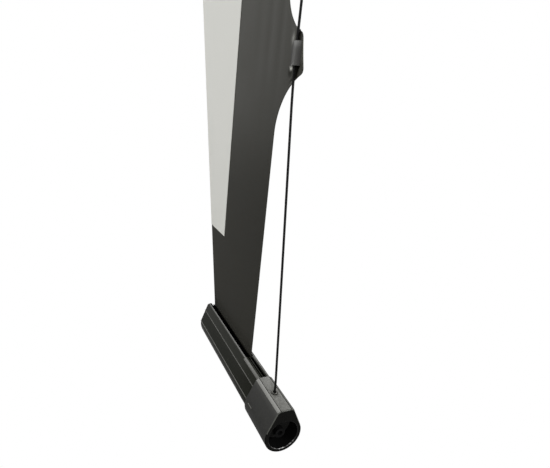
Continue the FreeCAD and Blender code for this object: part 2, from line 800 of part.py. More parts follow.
def make_bar_caps():
    """The moulded end caps with their cable passage, tool recess and spigot."""
    cap = new_body("bar_cap_right")
    outline = Profile(cap, "YZ_Plane", cap_start_x)
    shoulders = [(size.cap_top_half, ZERO), (size.strip_half, size.strip_drop)]
    outline.drop(bar_y, bar_z, shoulders, size.round_drop, size.cap_radius)
    shell = pad(cap, outline, size.cap_length)
    doc.recompute()
    ends = edges_where(shell.Shape, lambda point: abs(point.x - cap_end_x.value) < TINY)
    rounded = fillet(cap, shell, ends, size.cap_end_round)
    doc.recompute()
    starts = edges_where(rounded.Shape, lambda point: abs(point.x - cap_start_x.value) < TINY)
    fillet(cap, rounded, starts, size.cap_start_round)
    spigot_x = cap_start_x - size.spigot_length
    spigot = Profile(cap, "YZ_Plane", spigot_x)
    spigot.dee(bar_y, bar_round_z, hollow_radius - size.spigot_gap, hollow_top - size.spigot_gap)
    pad(cap, spigot, size.spigot_length)
    cavity = Profile(cap, "YZ_Plane", spigot_x)
    cavity_top = bar_z - size.cavity_top
    cavity_low = tension_z - size.screw_diameter / 2 - size.cavity_gap
    cavity.rectangle(bar_y - size.cavity_half, cavity_low, bar_y + size.cavity_half, cavity_top)
    pocket(cap, cavity, eyelet_x + size.cavity_room - spigot_x)
    recess = Profile(cap, "YZ_Plane", cap_end_x - size.recess_depth)
    recess.circle(bar_y, bar_round_z, size.recess_radius)
    pocket(cap, recess, size.recess_depth)
    bore = Profile(cap, "YZ_Plane", eyelet_x)
    bore.circle(bar_y, tension_z, size.screw_diameter / 2 + size.running_gap)
    pocket(cap, bore, cap_end_x - eyelet_x)
    seat = Profile(cap, "XY_Plane", cavity_top)
    seat.circle(eyelet_x, bar_y, size.eyelet_shank / 2)
    pocket(cap, seat, size.cavity_top)
    ridges = Profile(cap, "YZ_Plane", cap_start_x)
    for side in (1, -1):
        inside = bar_y + (size.cap_top_half - size.ridge_groove) * side
        outside = bar_y + size.cap_top_half * side
        ridges.rectangle(inside, bar_z - size.ridge_groove, outside, bar_z)
    pocket(cap, ridges, size.cap_length)
    hole = Profile(cap, "XY_Plane", bar_round_z - hollow_radius)
    hole.circle(cap_start_x - size.spigot_length / 2, bar_y, size.cap_screw_diameter / 2)
    pocket(cap, hole, size.cap_screw_length)
    keep("bar_cap_right", cap)
    mirror("bar_cap_left", cap)

    screw_x = cap_start_x - size.spigot_length / 2
    bar_low = bar_round_z - size.bar_radius
    head_z = bar_low - size.cap_screw_head_height
    head = cylinder(size.cap_screw_head / 2, size.cap_screw_head_height, screw_x, bar_y, head_z, "z")
    shank = cylinder(size.cap_screw_diameter / 2, size.cap_screw_length, screw_x, bar_y, bar_low, "z")
    group("bar_cap_screws", join(head, shank), [(0, 0, 0), (-2 * screw_x.value, 0, 0)])


def make_cable_fittings():
    """The eyelets on the caps and the posts that turn the cables into the bar."""
    shank_z = bar_z - size.cavity_top
    flange = cylinder(size.eyelet_flange / 2, size.eyelet_rise, eyelet_x, bar_y, bar_z, "z")
    shank = cylinder(size.eyelet_shank / 2, size.cavity_top, eyelet_x, bar_y, shank_z, "z")
    eyelet_height = size.cavity_top + size.eyelet_rise
    through = cylinder(size.eyelet_bore / 2, eyelet_height, eyelet_x, bar_y, shank_z, "z")
    eyelet = remove(join(flange, shank), through)
    doc.recompute()
    top = bar_z.value + size.eyelet_rise.value
    rims = edges_where(eyelet.Shape, lambda point: abs(point.z - top) < TINY)
    soft = doc.addObject("Part::Fillet", "Eyelet")
    soft.Base = eyelet
    rim_width = (size.eyelet_flange.value - size.eyelet_bore.value) / 2
    radius = min(size.eyelet_round.value, rim_width / 2 - size.running_gap.value)
    soft.Edges = [(int(name[len("Edge"):]), radius, radius) for name in rims]
    keep("eyelet_right", soft)
    mirror("eyelet_left", soft)
    post_x = eyelet_x - size.post_radius - size.cable_diameter / 2
    post_z = bar_z - size.post_drop
    post_radius = size.post_radius - size.running_gap
    post = cylinder(post_radius, size.cavity_half * 2, post_x, bar_y - size.cavity_half, post_z, "y")
    keep("cable_post_right", post)
    mirror("cable_post_left", post)


def make_tensioners():
    """The sliding cable anchors, their ferrules and the screws that push them."""
    slider_out = cap_start_x - size.spigot_length - size.slider_inset
    slider_in = slider_out - size.slider_length
    slider = new_body("tension_slider_right")
    block = Profile(slider, "YZ_Plane", slider_in)
    block.dee(bar_y, bar_round_z, hollow_radius - size.slider_gap, hollow_top - size.slider_gap)
    pad(slider, block, size.slider_length)
    socket = Profile(slider, "YZ_Plane", slider_out - size.socket_depth)
    socket.circle(bar_y, tension_z, size.screw_diameter / 2 + size.running_gap)
    pocket(slider, socket, size.socket_depth)
    cable_hole = Profile(slider, "YZ_Plane", slider_in)
    cable_hole.circle(bar_y, cable_low_z, size.cable_diameter / 2 + size.running_gap)
    pocket(slider, cable_hole, size.slider_length)
    keep("tension_slider_right", slider)
    mirror("tension_slider_left", slider)

    ferrule_x = slider_in - size.ferrule_length
    sleeve = cylinder(size.ferrule_diameter / 2, size.ferrule_length, ferrule_x, bar_y, cable_low_z, "x")
    bore_radius = size.cable_diameter / 2 + size.running_gap
    bore = cylinder(bore_radius, size.ferrule_length, ferrule_x, bar_y, cable_low_z, "x")
    ferrule = remove(sleeve, bore)
    keep("cable_ferrule_right", ferrule)
    mirror("cable_ferrule_left", ferrule)

    screw = new_body("tension_screw_right")
    tip_x = slider_out - size.socket_depth + size.screw_hole_gap
    head_x = cap_end_x - size.recess_depth + size.screw_head_room
    shank = Profile(screw, "YZ_Plane", tip_x).circle(bar_y, tension_z, size.screw_diameter / 2)
    pad(screw, shank, head_x - tip_x)
    head = Profile(screw, "YZ_Plane", head_x).circle(bar_y, tension_z, size.screw_head / 2)
    pad(screw, head, size.screw_head_height)
    hex_x = head_x + size.screw_head_height - size.hex_depth
    pocket(screw, hexagon(screw, hex_x, bar_y, tension_z), size.hex_depth)
    keep("tension_screw_right", screw)
    mirror("tension_screw_left", screw)


def hexagon(body, offset, middle, up):
    """The profile of a hex key socket."""
    across_corners = size.hex_key / math.cos(math.pi / 6)
    corners = []
    for step in range(6):
        angle = step * math.pi / 3
        corners.append((
            middle + across_corners * (math.cos(angle) / 2),
            up + across_corners * (math.sin(angle) / 2),
        ))
    return Profile(body, "YZ_Plane", offset).loop(corners)


def make_housing():
    """The extruded housing and the cover in front of the bar slot."""
    shell = new_body("housing_shell")
    wall = size.housing_wall
    mouth_front, mouth_rear = rail_y - size.rail_mouth / 2, rail_y + size.rail_mouth / 2
    rail_front, rail_rear = rail_y - size.rail_width / 2, rail_y + size.rail_width / 2
    rail_top = house_top - wall
    rail_low = rail_top - size.rail_depth
    section = Profile(shell, "YZ_Plane", -house_x)
    section.loop([
        (house_rear, house_low),
        (house_rear, house_top),
        (mouth_rear, house_top),
        (mouth_rear, rail_top),
        (rail_rear, rail_top),
        (rail_rear, rail_low),
        (rail_front, rail_low),
        (rail_front, rail_top),
        (mouth_front, rail_top),
        (mouth_front, house_top),
        (house_front, house_top, size.front_round),
        (house_front, house_low, size.lower_round),
        (ledge_y, house_low),
        (ledge_y, inner_low),
        (inner_front, inner_low, size.lower_round - wall),
        (inner_front, inner_top, size.front_round - wall),
        (rail_front - wall, inner_top),
        (rail_front - wall, rail_low - wall),
        (inner_rear, rail_low - wall),
        (inner_rear, inner_low),
        (slot_rear, inner_low),
        (slot_rear, house_low),
    ])
    pad(shell, section, house_x * 2)
    ports = Profile(shell, "YZ_Plane", -house_x)
    bores = Profile(shell, "YZ_Plane", -house_x)
    for depth, height in PORTS:
        ports.circle(depth, height, size.port_radius)
        bores.circle(depth, height, size.small_screw_diameter / 2)
    pad(shell, ports, house_x * 2)
    pocket(shell, bores, house_x * 2)
    eye = Profile(shell, "XZ_Plane", -inner_front)
    eye_radius = size.eye_diameter / 2 + size.running_gap
    eye.circle(size.eye_inset - house_x, house_top - size.eye_drop, eye_radius)
    pocket(shell, eye, wall)
    ledge_holes = Profile(shell, "XY_Plane", house_low)
    for x in cover_screw_places():
        ledge_holes.circle(x, cover_screw_y(), size.small_screw_diameter / 2 + size.screw_hole_gap)
    pocket(shell, ledge_holes, wall)
    keep("housing_shell", shell)

    cover = new_body("service_cover")
    tongue_top = inner_low + size.tongue_thickness
    tongue_front = inner_front + size.lower_round - wall
    cover_section = Profile(cover, "YZ_Plane", -house_x)
    cover_section.loop([
        (hinge_y, house_low),
        (slot_front, house_low),
        (slot_front, house_low + size.cover_lip),
        (slot_front - wall, house_low + size.cover_lip),
        (slot_front - wall, inner_low),
        (tongue_rear, inner_low),
        (tongue_rear, tongue_top),
        (tongue_front, tongue_top),
        (tongue_front, inner_low),
        (hinge_y, inner_low),
    ])
    pad(cover, cover_section, house_x * 2)
    tongue_holes = Profile(cover, "XY_Plane", inner_low)
    for x in cover_screw_places():
        tongue_holes.circle(x, cover_screw_y(), size.small_screw_diameter / 2)
    pocket(cover, tongue_holes, size.tongue_thickness)
    keep("service_cover", cover)

    places = cover_screw_places()
    head_z = house_low - size.small_head_height
    first, row_y = places[0], cover_screw_y()
    head = cylinder(size.small_head_diameter / 2, size.small_head_height, first, row_y, head_z, "z")
    length = wall + size.tongue_thickness
    shank = cylinder(size.small_screw_diameter / 2, length, first, row_y, house_low, "z")
    shifts = [(x.value - first.value, 0, 0) for x in places]
    group("cover_screws", join(head, shank), shifts)


def cover_screw_places():
    """Where the cover screws stand along the housing."""
    count = int(size.cover_screw_count.value)
    first = size.cover_screw_inset - house_x
    step = (house_x * 2 - size.cover_screw_inset * 2) / (count - 1)
    return [first + step * number for number in range(count)]


def cover_screw_y():
    """The depth of the row of cover screws, on the flat of the ledge."""
    flat_front = house_front + size.lower_round
    return (flat_front + ledge_y) / 2


def end_outline(body, offset, inset, rear_round):
    """The outline of the housing's end, drawn in by an inset."""
    profile = Profile(body, "YZ_Plane", offset)
    return profile.loop([
        (house_rear - inset, house_low + inset, rear_round),
        (house_rear - inset, house_top - inset, rear_round),
        (house_front + inset, house_top - inset, size.front_round - inset),
        (house_front + inset, house_low + inset, size.lower_round - inset),
    ])


def make_end(side):
    """One end of the housing: the carrier plate and the moulded cap over it."""
    right = side > 0
    plate_name = "idler_plate" if right else "motor_plate"
    cap_name = "end_cap_right" if right else "end_cap_left"
    plate_inset = size.end_cap_wall + size.plate_gap
    corner = size.end_cap_round
    plate_x = house_x if right else -house_x - size.plate_thickness
    plate = new_body(plate_name)
    pad(plate, end_outline(plate, plate_x, plate_inset, corner), size.plate_thickness)
    holes = Profile(plate, "YZ_Plane", plate_x)
    for depth, height in PORTS:
        holes.circle(depth, height, size.small_screw_diameter / 2 + size.screw_hole_gap)
    if right:
        holes.circle(roller_y, roller_z, size.bush_diameter / 2)
    else:
        fixing_radius = size.motor_screw_diameter / 2 + size.screw_hole_gap
        limit_radius = size.limit_screw_diameter / 2 + size.screw_hole_gap * 2
        for way in (1, -1):
            holes.circle(roller_y + size.motor_screw_offset * way, roller_z, fixing_radius)
            holes.circle(roller_y, roller_z + size.limit_screw_offset * way, limit_radius)
        holes.circle(gland_y, gland_z, size.gland_body / 2)
    pocket(plate, holes, size.plate_thickness)
    keep(plate_name, plate)

    cap = new_body(cap_name)
    cap_x = house_x if right else -house_x - size.end_cap_thickness
    face_x = house_x + size.end_cap_thickness if right else -house_x - size.end_cap_thickness
    shell = pad(cap, end_outline(cap, cap_x, ZERO, size.end_cap_round), size.end_cap_thickness)
    doc.recompute()
    rim = edges_where(shell.Shape, lambda point: abs(point.x - face_x.value) < TINY)
    fillet(cap, shell, rim, size.end_cap_round)
    depth_in = size.end_cap_thickness - size.end_cap_face
    hollow_x = house_x if right else -house_x - depth_in
    hollow = end_outline(cap, hollow_x, size.end_cap_wall, corner)
    pocket(cap, hollow, depth_in)
    post_length = depth_in - size.plate_thickness
    post_x = house_x + size.plate_thickness if right else -house_x - depth_in
    posts = Profile(cap, "YZ_Plane", post_x)
    for depth, height in PORTS:
        posts.circle(depth, height, size.cap_post_radius)
    pad(cap, posts, post_length)
    through = Profile(cap, "YZ_Plane", cap_x)
    sinks = Profile(cap, "YZ_Plane", face_x - size.small_head_height if right else face_x)
    for depth, height in PORTS:
        through.circle(depth, height, size.small_screw_diameter / 2 + size.screw_hole_gap)
        sinks.circle(depth, height, size.small_head_diameter / 2 + size.screw_hole_gap)
    pocket(cap, through, size.end_cap_thickness)
    pocket(cap, sinks, size.small_head_height)
    if not right:
        access = Profile(cap, "YZ_Plane", face_x)
        for way in (1, -1):
            access.circle(roller_y, roller_z + size.limit_screw_offset * way, size.limit_access / 2)
        access.circle(gland_y, gland_z, size.gland_body / 2)
        pocket(cap, access, size.end_cap_face)
    keep(cap_name, cap)


def make_end_screws():
    """The screws that hold both end caps and plates to the ports."""
    seat_x = house_x + size.end_cap_thickness - size.small_head_height
    depth, height = PORTS[0]
    head = cylinder(size.small_head_diameter / 2, size.small_head_height, seat_x, depth, height, "x")
    start = seat_x - size.end_screw_length
    radius = size.small_screw_diameter / 2 - size.running_gap
    shank = cylinder(radius, size.end_screw_length, start, depth, height, "x")
    screw = join(head, shank)
    other = doc.addObject("Part::Mirroring", "OtherEnd")
    other.Source = screw
    other.Normal = FreeCAD.Vector(1, 0, 0)
    doc.recompute()
    shifts = [FreeCAD.Vector(0, y.value - depth.value, z.value - height.value) for y, z in PORTS]
    copies = [item.Shape.translated(shift) for item in (screw, other) for shift in shifts]
    screws = doc.addObject("Part::Feature", "end_cap_screws")
    screws.Shape = Part.makeCompound(copies)
    keep("end_cap_screws", screws)


def make_gland():
    """The bush in the left end where the power cord enters."""
    face_x = -house_x - size.end_cap_thickness
    outside = face_x - size.gland_flange_thickness
    flange = cylinder(size.gland_flange / 2, size.gland_flange_thickness, outside, gland_y, gland_z, "x")
    body = cylinder(size.gland_body / 2, size.gland_depth, face_x, gland_y, gland_z, "x")
    length = size.gland_flange_thickness + size.gland_depth
    bore = cylinder(size.gland_bore / 2, length, outside, gland_y, gland_z, "x")
    keep("cord_gland", remove(join(flange, body), bore))


def make_motor():
    """The tubular motor, its screws and the two limit screws."""
    head_x = -house_x
    head_length = size.tube_end_room
    head = new_body("motor_head")
    outline = Profile(head, "YZ_Plane", head_x).circle(roller_y, roller_z, size.motor_head_diameter / 2)
    pad(head, outline, head_length)
    fixings = Profile(head, "YZ_Plane", head_x)
    limits = Profile(head, "YZ_Plane", head_x)
    limit_radius = size.limit_screw_diameter / 2 + size.running_gap
    for way in (1, -1):
        fixings.circle(roller_y + size.motor_screw_offset * way, roller_z, size.motor_screw_diameter / 2)
        limits.circle(roller_y, roller_z + size.limit_screw_offset * way, limit_radius)
    pocket(head, fixings, size.motor_screw_length - size.plate_thickness)
    pocket(head, limits, size.limit_screw_length - size.limit_screw_rise)
    lead_seat = Profile(head, "XY_Plane", roller_z - size.motor_head_diameter / 2)
    lead_seat.circle(lead_x, roller_y, size.lead_diameter / 2 + size.running_gap)
    pocket(head, lead_seat, size.lead_seat)
    keep("motor_head", head)

    can = new_body("motor_can")
    can_x = head_x + head_length
    outline = Profile(can, "YZ_Plane", can_x).circle(roller_y, roller_z, size.motor_diameter / 2)
    pad(can, outline, size.motor_length)
    seat = Profile(can, "YZ_Plane", can_x + size.motor_length - size.drive_shaft_seat)
    seat.circle(roller_y, roller_z, size.drive_shaft_diameter / 2 + size.running_gap)
    pocket(can, seat, size.drive_shaft_seat)
    keep("motor_can", can)

    plate_face = head_x - size.plate_thickness
    screw_y = roller_y - size.motor_screw_offset
    screw_head = cylinder(
        size.motor_screw_head / 2, size.motor_screw_head_height,
        plate_face - size.motor_screw_head_height, screw_y, roller_z, "x",
    )
    shank_radius = size.motor_screw_diameter / 2 - size.running_gap
    shank = cylinder(shank_radius, size.motor_screw_length, plate_face, screw_y, roller_z, "x")
    apart = 2 * size.motor_screw_offset.value
    group("motor_screws", join(screw_head, shank), [(0, 0, 0), (0, apart, 0)])

    for name, way in (("limit_screw_up", 1), ("limit_screw_down", -1)):
        screw = new_body(name)
        up = roller_z + size.limit_screw_offset * way
        start = head_x - size.limit_screw_rise
        outline = Profile(screw, "YZ_Plane", start).circle(roller_y, up, size.limit_screw_diameter / 2)
        pad(screw, outline, size.limit_screw_length - size.screw_hole_gap)
        pocket(screw, hexagon(screw, start, roller_y, up), size.hex_depth)
        keep(name, screw)


def make_roller():
    """The tube with its keyway, what drives and carries it, and the cloth that stays on it."""
    radius = size.tube_diameter / 2
    inner = radius - size.tube_wall
    length = tube_x * 2
    key_low = roller_z + radius - size.key_depth
    outside = cylinder(radius, length, -tube_x, roller_y, roller_z, "x")
    inside = cylinder(inner, length, -tube_x, roller_y, roller_z, "x")
    key_height = size.key_depth - size.tube_wall / 2
    key = box(length, size.key_width, key_height, -tube_x, roller_y - size.key_width / 2, key_low)
    trough_width = size.key_width - size.key_wall * 2
    trough_y = roller_y - trough_width / 2
    trough = box(length, trough_width, size.key_depth, -tube_x, trough_y, key_low + size.key_wall)
    keep("roller_tube", remove(join(remove(outside, inside), key), trough))

    spline_radius = size.spline_diameter / 2
    spline_z = key_low + size.key_wall + spline_radius
    keep("fabric_spline", cylinder(spline_radius, edge_x * 2, -edge_x, roller_y, spline_z, "x"))
    wrap_radius = cloth_front - size.wrap_gap - roller_y
    wrap_outer = cylinder(wrap_radius, edge_x * 2, -edge_x, roller_y, roller_z, "x")
    wrap_inner = cylinder(radius, edge_x * 2, -edge_x, roller_y, roller_z, "x")
    keep("fabric_wrap", remove(wrap_outer, wrap_inner))

    def keyed_disc(start, disc_length):
        """A disc that fits the tube and straddles its keyway."""
        disc = cylinder(inner - size.fit_gap, disc_length, start, roller_y, roller_z, "x")
        notch_width = size.key_width + size.fit_gap * 2
        notch_y = roller_y - notch_width / 2
        notch = box(disc_length, notch_width, size.key_depth * 2, start, notch_y, key_low - size.fit_gap)
        return remove(disc, notch)

    bore_radius = size.motor_diameter / 2 + size.running_gap
    crown_bore = cylinder(bore_radius, size.crown_length, -tube_x, roller_y, roller_z, "x")
    keep("limit_crown", remove(keyed_disc(-tube_x, size.crown_length), crown_bore))

    motor_end = -tube_x + size.motor_length
    shaft_start = motor_end - size.drive_shaft_seat + size.screw_hole_gap
    shaft_length = size.drive_shaft_seat + size.wheel_gap + size.wheel_length + size.shaft_end
    shaft_radius = size.drive_shaft_diameter / 2
    keep("drive_shaft", cylinder(shaft_radius, shaft_length, shaft_start, roller_y, roller_z, "x"))
    wheel_start = motor_end + size.wheel_gap
    wheel_bore = cylinder(shaft_radius, size.wheel_length, wheel_start, roller_y, roller_z, "x")
    keep("drive_wheel", remove(keyed_disc(wheel_start, size.wheel_length), wheel_bore))

    plug_start = tube_x - size.plug_length
    pin_radius = size.idler_pin_diameter / 2
    pin_bore = cylinder(pin_radius, size.plug_length, plug_start, roller_y, roller_z, "x")
    keep("idler_plug", remove(keyed_disc(plug_start, size.plug_length), pin_bore))
    pin_length = house_x + size.plate_thickness + size.idler_pin_reach - plug_start
    keep("idler_pin", cylinder(pin_radius, pin_length, plug_start, roller_y, roller_z, "x"))
    flange_x = house_x - size.bush_flange_thickness
    flange_radius = size.bush_flange / 2
    flange = cylinder(flange_radius, size.bush_flange_thickness, flange_x, roller_y, roller_z, "x")
    barrel = cylinder(size.bush_diameter / 2, size.plate_thickness, house_x, roller_y, roller_z, "x")
    bush_bore = cylinder(
        pin_radius + size.running_gap, size.bush_flange_thickness + size.plate_thickness,
        flange_x, roller_y, roller_z, "x",
    )
    keep("idler_bush", remove(join(flange, barrel), bush_bore))


def make_controls():
    """The receiver box on the cover, the motor's lead and the receiver eye."""
    start = size.box_inset - house_x
    front = tongue_rear + size.box_gap
    floor = inner_low
    wall, step = size.box_wall, size.box_ledge
    tray = new_body("control_box")
    end, rear = start + size.box_length, front + size.box_width
    outline = Profile(tray, "XY_Plane", floor).rectangle(start, front, end, rear)
    pad(tray, outline, size.box_height)
    upper = Profile(tray, "XY_Plane", floor + size.box_ledge_height)
    upper.rectangle(start + wall, front + wall, end - wall, rear - wall)
    pocket(tray, upper, size.box_height - size.box_ledge_height)
    lower = Profile(tray, "XY_Plane", floor + wall)
    inset = wall + step
    lower.rectangle(start + inset, front + inset, end - inset, rear - inset)
    pocket(tray, lower, size.box_ledge_height - wall)
    lead_hole = Profile(tray, "YZ_Plane", start)
    lead_hole.circle(roller_y, lead_z, size.lead_diameter / 2 + size.running_gap)
    pocket(tray, lead_hole, wall)
    keep("control_box", tray)
    lid_z = floor + size.box_height
    keep("control_lid", box(size.box_length, size.box_width, size.lid_thickness, start, front, lid_z))
    board_inset = wall + size.board_gap
    board = box(
        size.box_length - board_inset * 2, size.box_width - board_inset * 2, size.board_thickness,
        start + board_inset, front + board_inset, floor + size.box_ledge_height,
    )
    keep("control_board", board)

    top = roller_z - size.motor_head_diameter / 2 + size.lead_seat - size.screw_hole_gap
    route = (
        FreeCAD.Vector(lead_x.value, roller_y.value, top.value),
        FreeCAD.Vector(lead_x.value, roller_y.value, lead_z.value),
        FreeCAD.Vector((start + wall).value, roller_y.value, lead_z.value),
    )
    tube_along("motor_lead", route, [size.lead_bend.value], size.lead_diameter.value / 2)

    eye_x = size.eye_inset - house_x
    eye_z = house_top - size.eye_drop
    lens_y = house_front - size.eye_rise
    lens = cylinder(size.eye_diameter / 2, size.eye_rise + size.housing_wall, eye_x, lens_y, eye_z, "y")
    flange = cylinder(size.eye_flange / 2, size.eye_flange_thickness, eye_x, inner_front, eye_z, "y")
    keep("ir_window", join(lens, flange))


def make_brackets():
    """The wall brackets, and the bolts and nuts that hold the housing under them."""
    half = size.bracket_spacing / 2
    for name, side in (("right", 1), ("left", -1)):
        bracket = new_body(f"wall_bracket_{name}")
        start = half * side - size.bracket_width / 2
        low = house_top - size.bracket_below
        arm_top = house_top + size.arm_thickness
        section = Profile(bracket, "YZ_Plane", start)
        section.loop([
            (ZERO, low),
            (ZERO, size.bracket_above),
            (house_rear, size.bracket_above),
            (house_rear, arm_top, size.arm_thickness / 2),
            (-size.arm_reach, arm_top),
            (-size.arm_reach, house_top),
            (house_rear, house_top),
            (house_rear, low),
        ])
        pad(bracket, section, size.bracket_width)
        wall_holes = Profile(bracket, "XZ_Plane", ZERO)
        bolt_holes = Profile(bracket, "XY_Plane", house_top)
        for way in (1, -1):
            wall_holes.circle(half * side, size.wall_hole_spacing / 2 * way, size.wall_hole_diameter / 2)
            bolt_x = half * side + size.bolt_spacing / 2 * way
            bolt_holes.circle(bolt_x, rail_y, size.bolt_diameter / 2 + size.screw_hole_gap)
        pocket(bracket, wall_holes, size.bracket_thickness)
        pocket(bracket, bolt_holes, size.arm_thickness)
        keep(f"wall_bracket_{name}", bracket)

    bolt_x = half - size.bolt_spacing / 2
    arm_top = house_top + size.arm_thickness
    nut_top = house_top - size.housing_wall
    nut_low = nut_top - size.nut_thickness
    head = cylinder(size.bolt_head / 2, size.bolt_head_height, bolt_x, rail_y, arm_top, "z")
    shank = cylinder(size.bolt_diameter / 2, arm_top - nut_low, bolt_x, rail_y, nut_low, "z")
    bolt = join(head, shank)
    nut_width = size.rail_width - size.nut_gap * 2
    block = box(
        size.nut_length, nut_width, size.nut_thickness,
        bolt_x - size.nut_length / 2, rail_y - nut_width / 2, nut_low,
    )
    bore_radius = size.bolt_diameter / 2 + size.running_gap
    bore = cylinder(bore_radius, size.nut_thickness, bolt_x, rail_y, nut_low, "z")
    nut = remove(block, bore)
    spacing, across = size.bolt_spacing.value, size.bracket_spacing.value
    shifts = [(along - way, 0, 0) for way in (0, across) for along in (0, spacing)]
    group("bracket_bolts", bolt, shifts)
    group("bracket_nuts", nut, shifts)


def check_and_write():
    """Stops on any failed object, then writes each piece to its own file."""
    doc.recompute()
    for item in doc.Objects:
        if "Invalid" in item.State or "Error" in item.State:
            raise RuntimeError(f"{item.Name} ({item.Label}) failed: {item.State}")
        if item.TypeId == "PartDesign::Pocket":
            before, after = item.BaseFeature.Shape.Volume, item.Shape.Volume
            if after >= before - TINY:
                owner = item.getParentGeoFeatureGroup().Label
                raise RuntimeError(f"{item.Name} of {owner} cuts nothing")
    os.makedirs("parts", exist_ok=True)
    for name, item in nodes.items():
        shape = item.Shape
        if shape.isNull() or not shape.isValid():
            raise RuntimeError(f"{name} has no valid shape")
        shape.exportStep(os.path.join("parts", f"{name}.step"))
    low, high = bar_z.value - size.round_drop.value - size.cap_radius.value, size.bracket_above.value
    print(f"{len(nodes)} pieces, height {high - low:.1f}, bar top {bar_z.value:.1f}")


make_cloth()
make_sleeves()
make_cables()
make_weight_bar()
make_bar_caps()
make_cable_fittings()
make_tensioners()
make_housing()
make_end(1)
make_end(-1)
make_end_screws()
make_gland()
make_motor()
make_roller()
make_controls()
make_brackets()
check_and_write()
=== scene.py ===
"""Dresses the motorized projection screen: its cloth, cables, caps, fittings and finishes."""

import logging
import math
from dataclasses import dataclass, field
from enum import Enum
from functools import cache
from typing import Callable, Sequence, Union

import bmesh
import bpy
import numpy as np
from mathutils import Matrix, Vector


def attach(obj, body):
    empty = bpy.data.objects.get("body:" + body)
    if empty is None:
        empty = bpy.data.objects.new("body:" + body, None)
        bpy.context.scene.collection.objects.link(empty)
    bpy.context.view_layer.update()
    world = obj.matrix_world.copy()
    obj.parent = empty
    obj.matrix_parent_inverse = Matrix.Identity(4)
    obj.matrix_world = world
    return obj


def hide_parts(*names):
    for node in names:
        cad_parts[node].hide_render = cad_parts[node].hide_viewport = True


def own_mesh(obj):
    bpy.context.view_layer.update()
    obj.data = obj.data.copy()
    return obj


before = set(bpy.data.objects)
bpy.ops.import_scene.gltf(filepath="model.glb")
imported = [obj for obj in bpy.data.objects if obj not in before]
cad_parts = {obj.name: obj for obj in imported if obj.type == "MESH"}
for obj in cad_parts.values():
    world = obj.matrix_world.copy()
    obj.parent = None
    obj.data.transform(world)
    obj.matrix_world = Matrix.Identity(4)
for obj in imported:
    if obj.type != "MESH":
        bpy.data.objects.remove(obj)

LOG = logging.getLogger("screen")
PHOTO_WIDTH = 550.0
FINISH_PREFIX = "finish_"
SAME_PLACE = 1e-6
PLACE_DIGITS = 6
FLAT_ANGLE = 0.4
BROKEN_ANGLE = 40.0
BROKEN_STEPS = 2
COPY_CREASE = 28.0

Colour = tuple[float, float, float, float]
Point = tuple[float, float, float]
Socket = bpy.types.NodeSocket
Value = Union[Socket, float, str, tuple[float, ...]]
Shape = Callable[[bmesh.types.BMesh], None]

WHITE: Colour = (1.0, 1.0, 1.0, 1.0)


class Side(Enum):
    """The two ends of the screen, each with its sign along X."""

    RIGHT = 1
    LEFT = -1

    @property
    def word(self) -> str:
        """The side's name as the nodes spell it."""
        return self.name.lower()


class Body(Enum):
    """The bodies that the pieces ride on."""

    HOUSING = "housing"
    ROLLER = "roller"
    BAR = "bar"


def pair(stem: str) -> tuple[str, str]:
    """The names of a node's two ends."""
    return f"{stem}_left", f"{stem}_right"


def srgb(red: int, green: int, blue: int) -> Colour:
    """Turns a screen colour into the linear one that shaders take.

    Args:
        red: Red from 0 to 255.
        green: Green from 0 to 255.
        blue: Blue from 0 to 255.

    Returns:
        The linear colour with full alpha.
    """
    parts = [value / 255 for value in (red, green, blue)]
    linear = [p / 12.92 if p <= 0.04045 else ((p + 0.055) / 1.055) ** 2.4 for p in parts]
    return (linear[0], linear[1], linear[2], 1.0)


def smooth_step(low: float, high: float, value: np.ndarray) -> np.ndarray:
    """Rises smoothly from 0 at low to 1 at high."""
    share = np.clip((value - low) / (high - low), 0.0, 1.0)
    return share * share * (3.0 - 2.0 * share)


def bell(value: np.ndarray, half: float) -> np.ndarray:
    """Falls softly from 1 where a value is 0, to 1/e where it is half."""
    return np.exp(-((value / half) ** 2))


def grid_faces(rows: int, columns: int, start: int = 0) -> list[list[int]]:
    """The quads of a grid whose points are numbered row by row.

    Args:
        rows: How many rows of points it has.
        columns: How many points a row has.
        start: The first point's number.

    Returns:
        The quads as rows of point numbers.
    """
    firsts = [start + row * columns + column for row in range(rows - 1) for column in range(columns - 1)]
    return [[first, first + 1, first + columns + 1, first + columns] for first in firsts]


class NodeSketch:
    """Nodes under construction in one tree."""

    def __init__(self, tree: bpy.types.NodeTree) -> None:
        """Works on a tree."""
        self.tree = tree

    def feed(self, target: Socket, source: Value) -> None:
        """Links a socket, or sets its plain value.

        Args:
            target: The socket that is fed.
            source: Another socket, or the value.
        """
        if isinstance(source, Socket):
            self.tree.links.new(source, target)
        else:
            target.default_value = source

    def add(
        self, kind: str, feeds: dict[Union[int, str], Value] | None = None, **settings: object
    ) -> bpy.types.Node:
        """Adds a node.

        Args:
            kind: Its type.
            feeds: What goes into its inputs, by their names or places.
            **settings: Its own settings, made first.

        Returns:
            The new node.
        """
        node = self.tree.nodes.new(kind)
        for name, value in settings.items():
            setattr(node, name, value)
        for key, source in (feeds or {}).items():
            self.feed(node.inputs[key], source)
        return node

    def math(self, operation: str, first: Value, second: Value = 0.0) -> Socket:
        """A math node on one or two values."""
        return self.add("ShaderNodeMath", {0: first, 1: second}, operation=operation).outputs[0]

    def spread(self, source: Socket, low: Value, high: Value, kind: str = "LINEAR") -> Socket:
        """Stretches the span from low to high over 0 to 1."""
        feeds = {"Value": source, "From Min": low, "From Max": high}
        return self.add("ShaderNodeMapRange", feeds, interpolation_type=kind).outputs["Result"]

    def between(self, factor: Socket, low: float, high: float) -> Socket:
        """A value that runs from low to high as the factor runs from 0 to 1."""
        return self.add("ShaderNodeMapRange", {"Value": factor, "To Min": low, "To Max": high}).outputs["Result"]


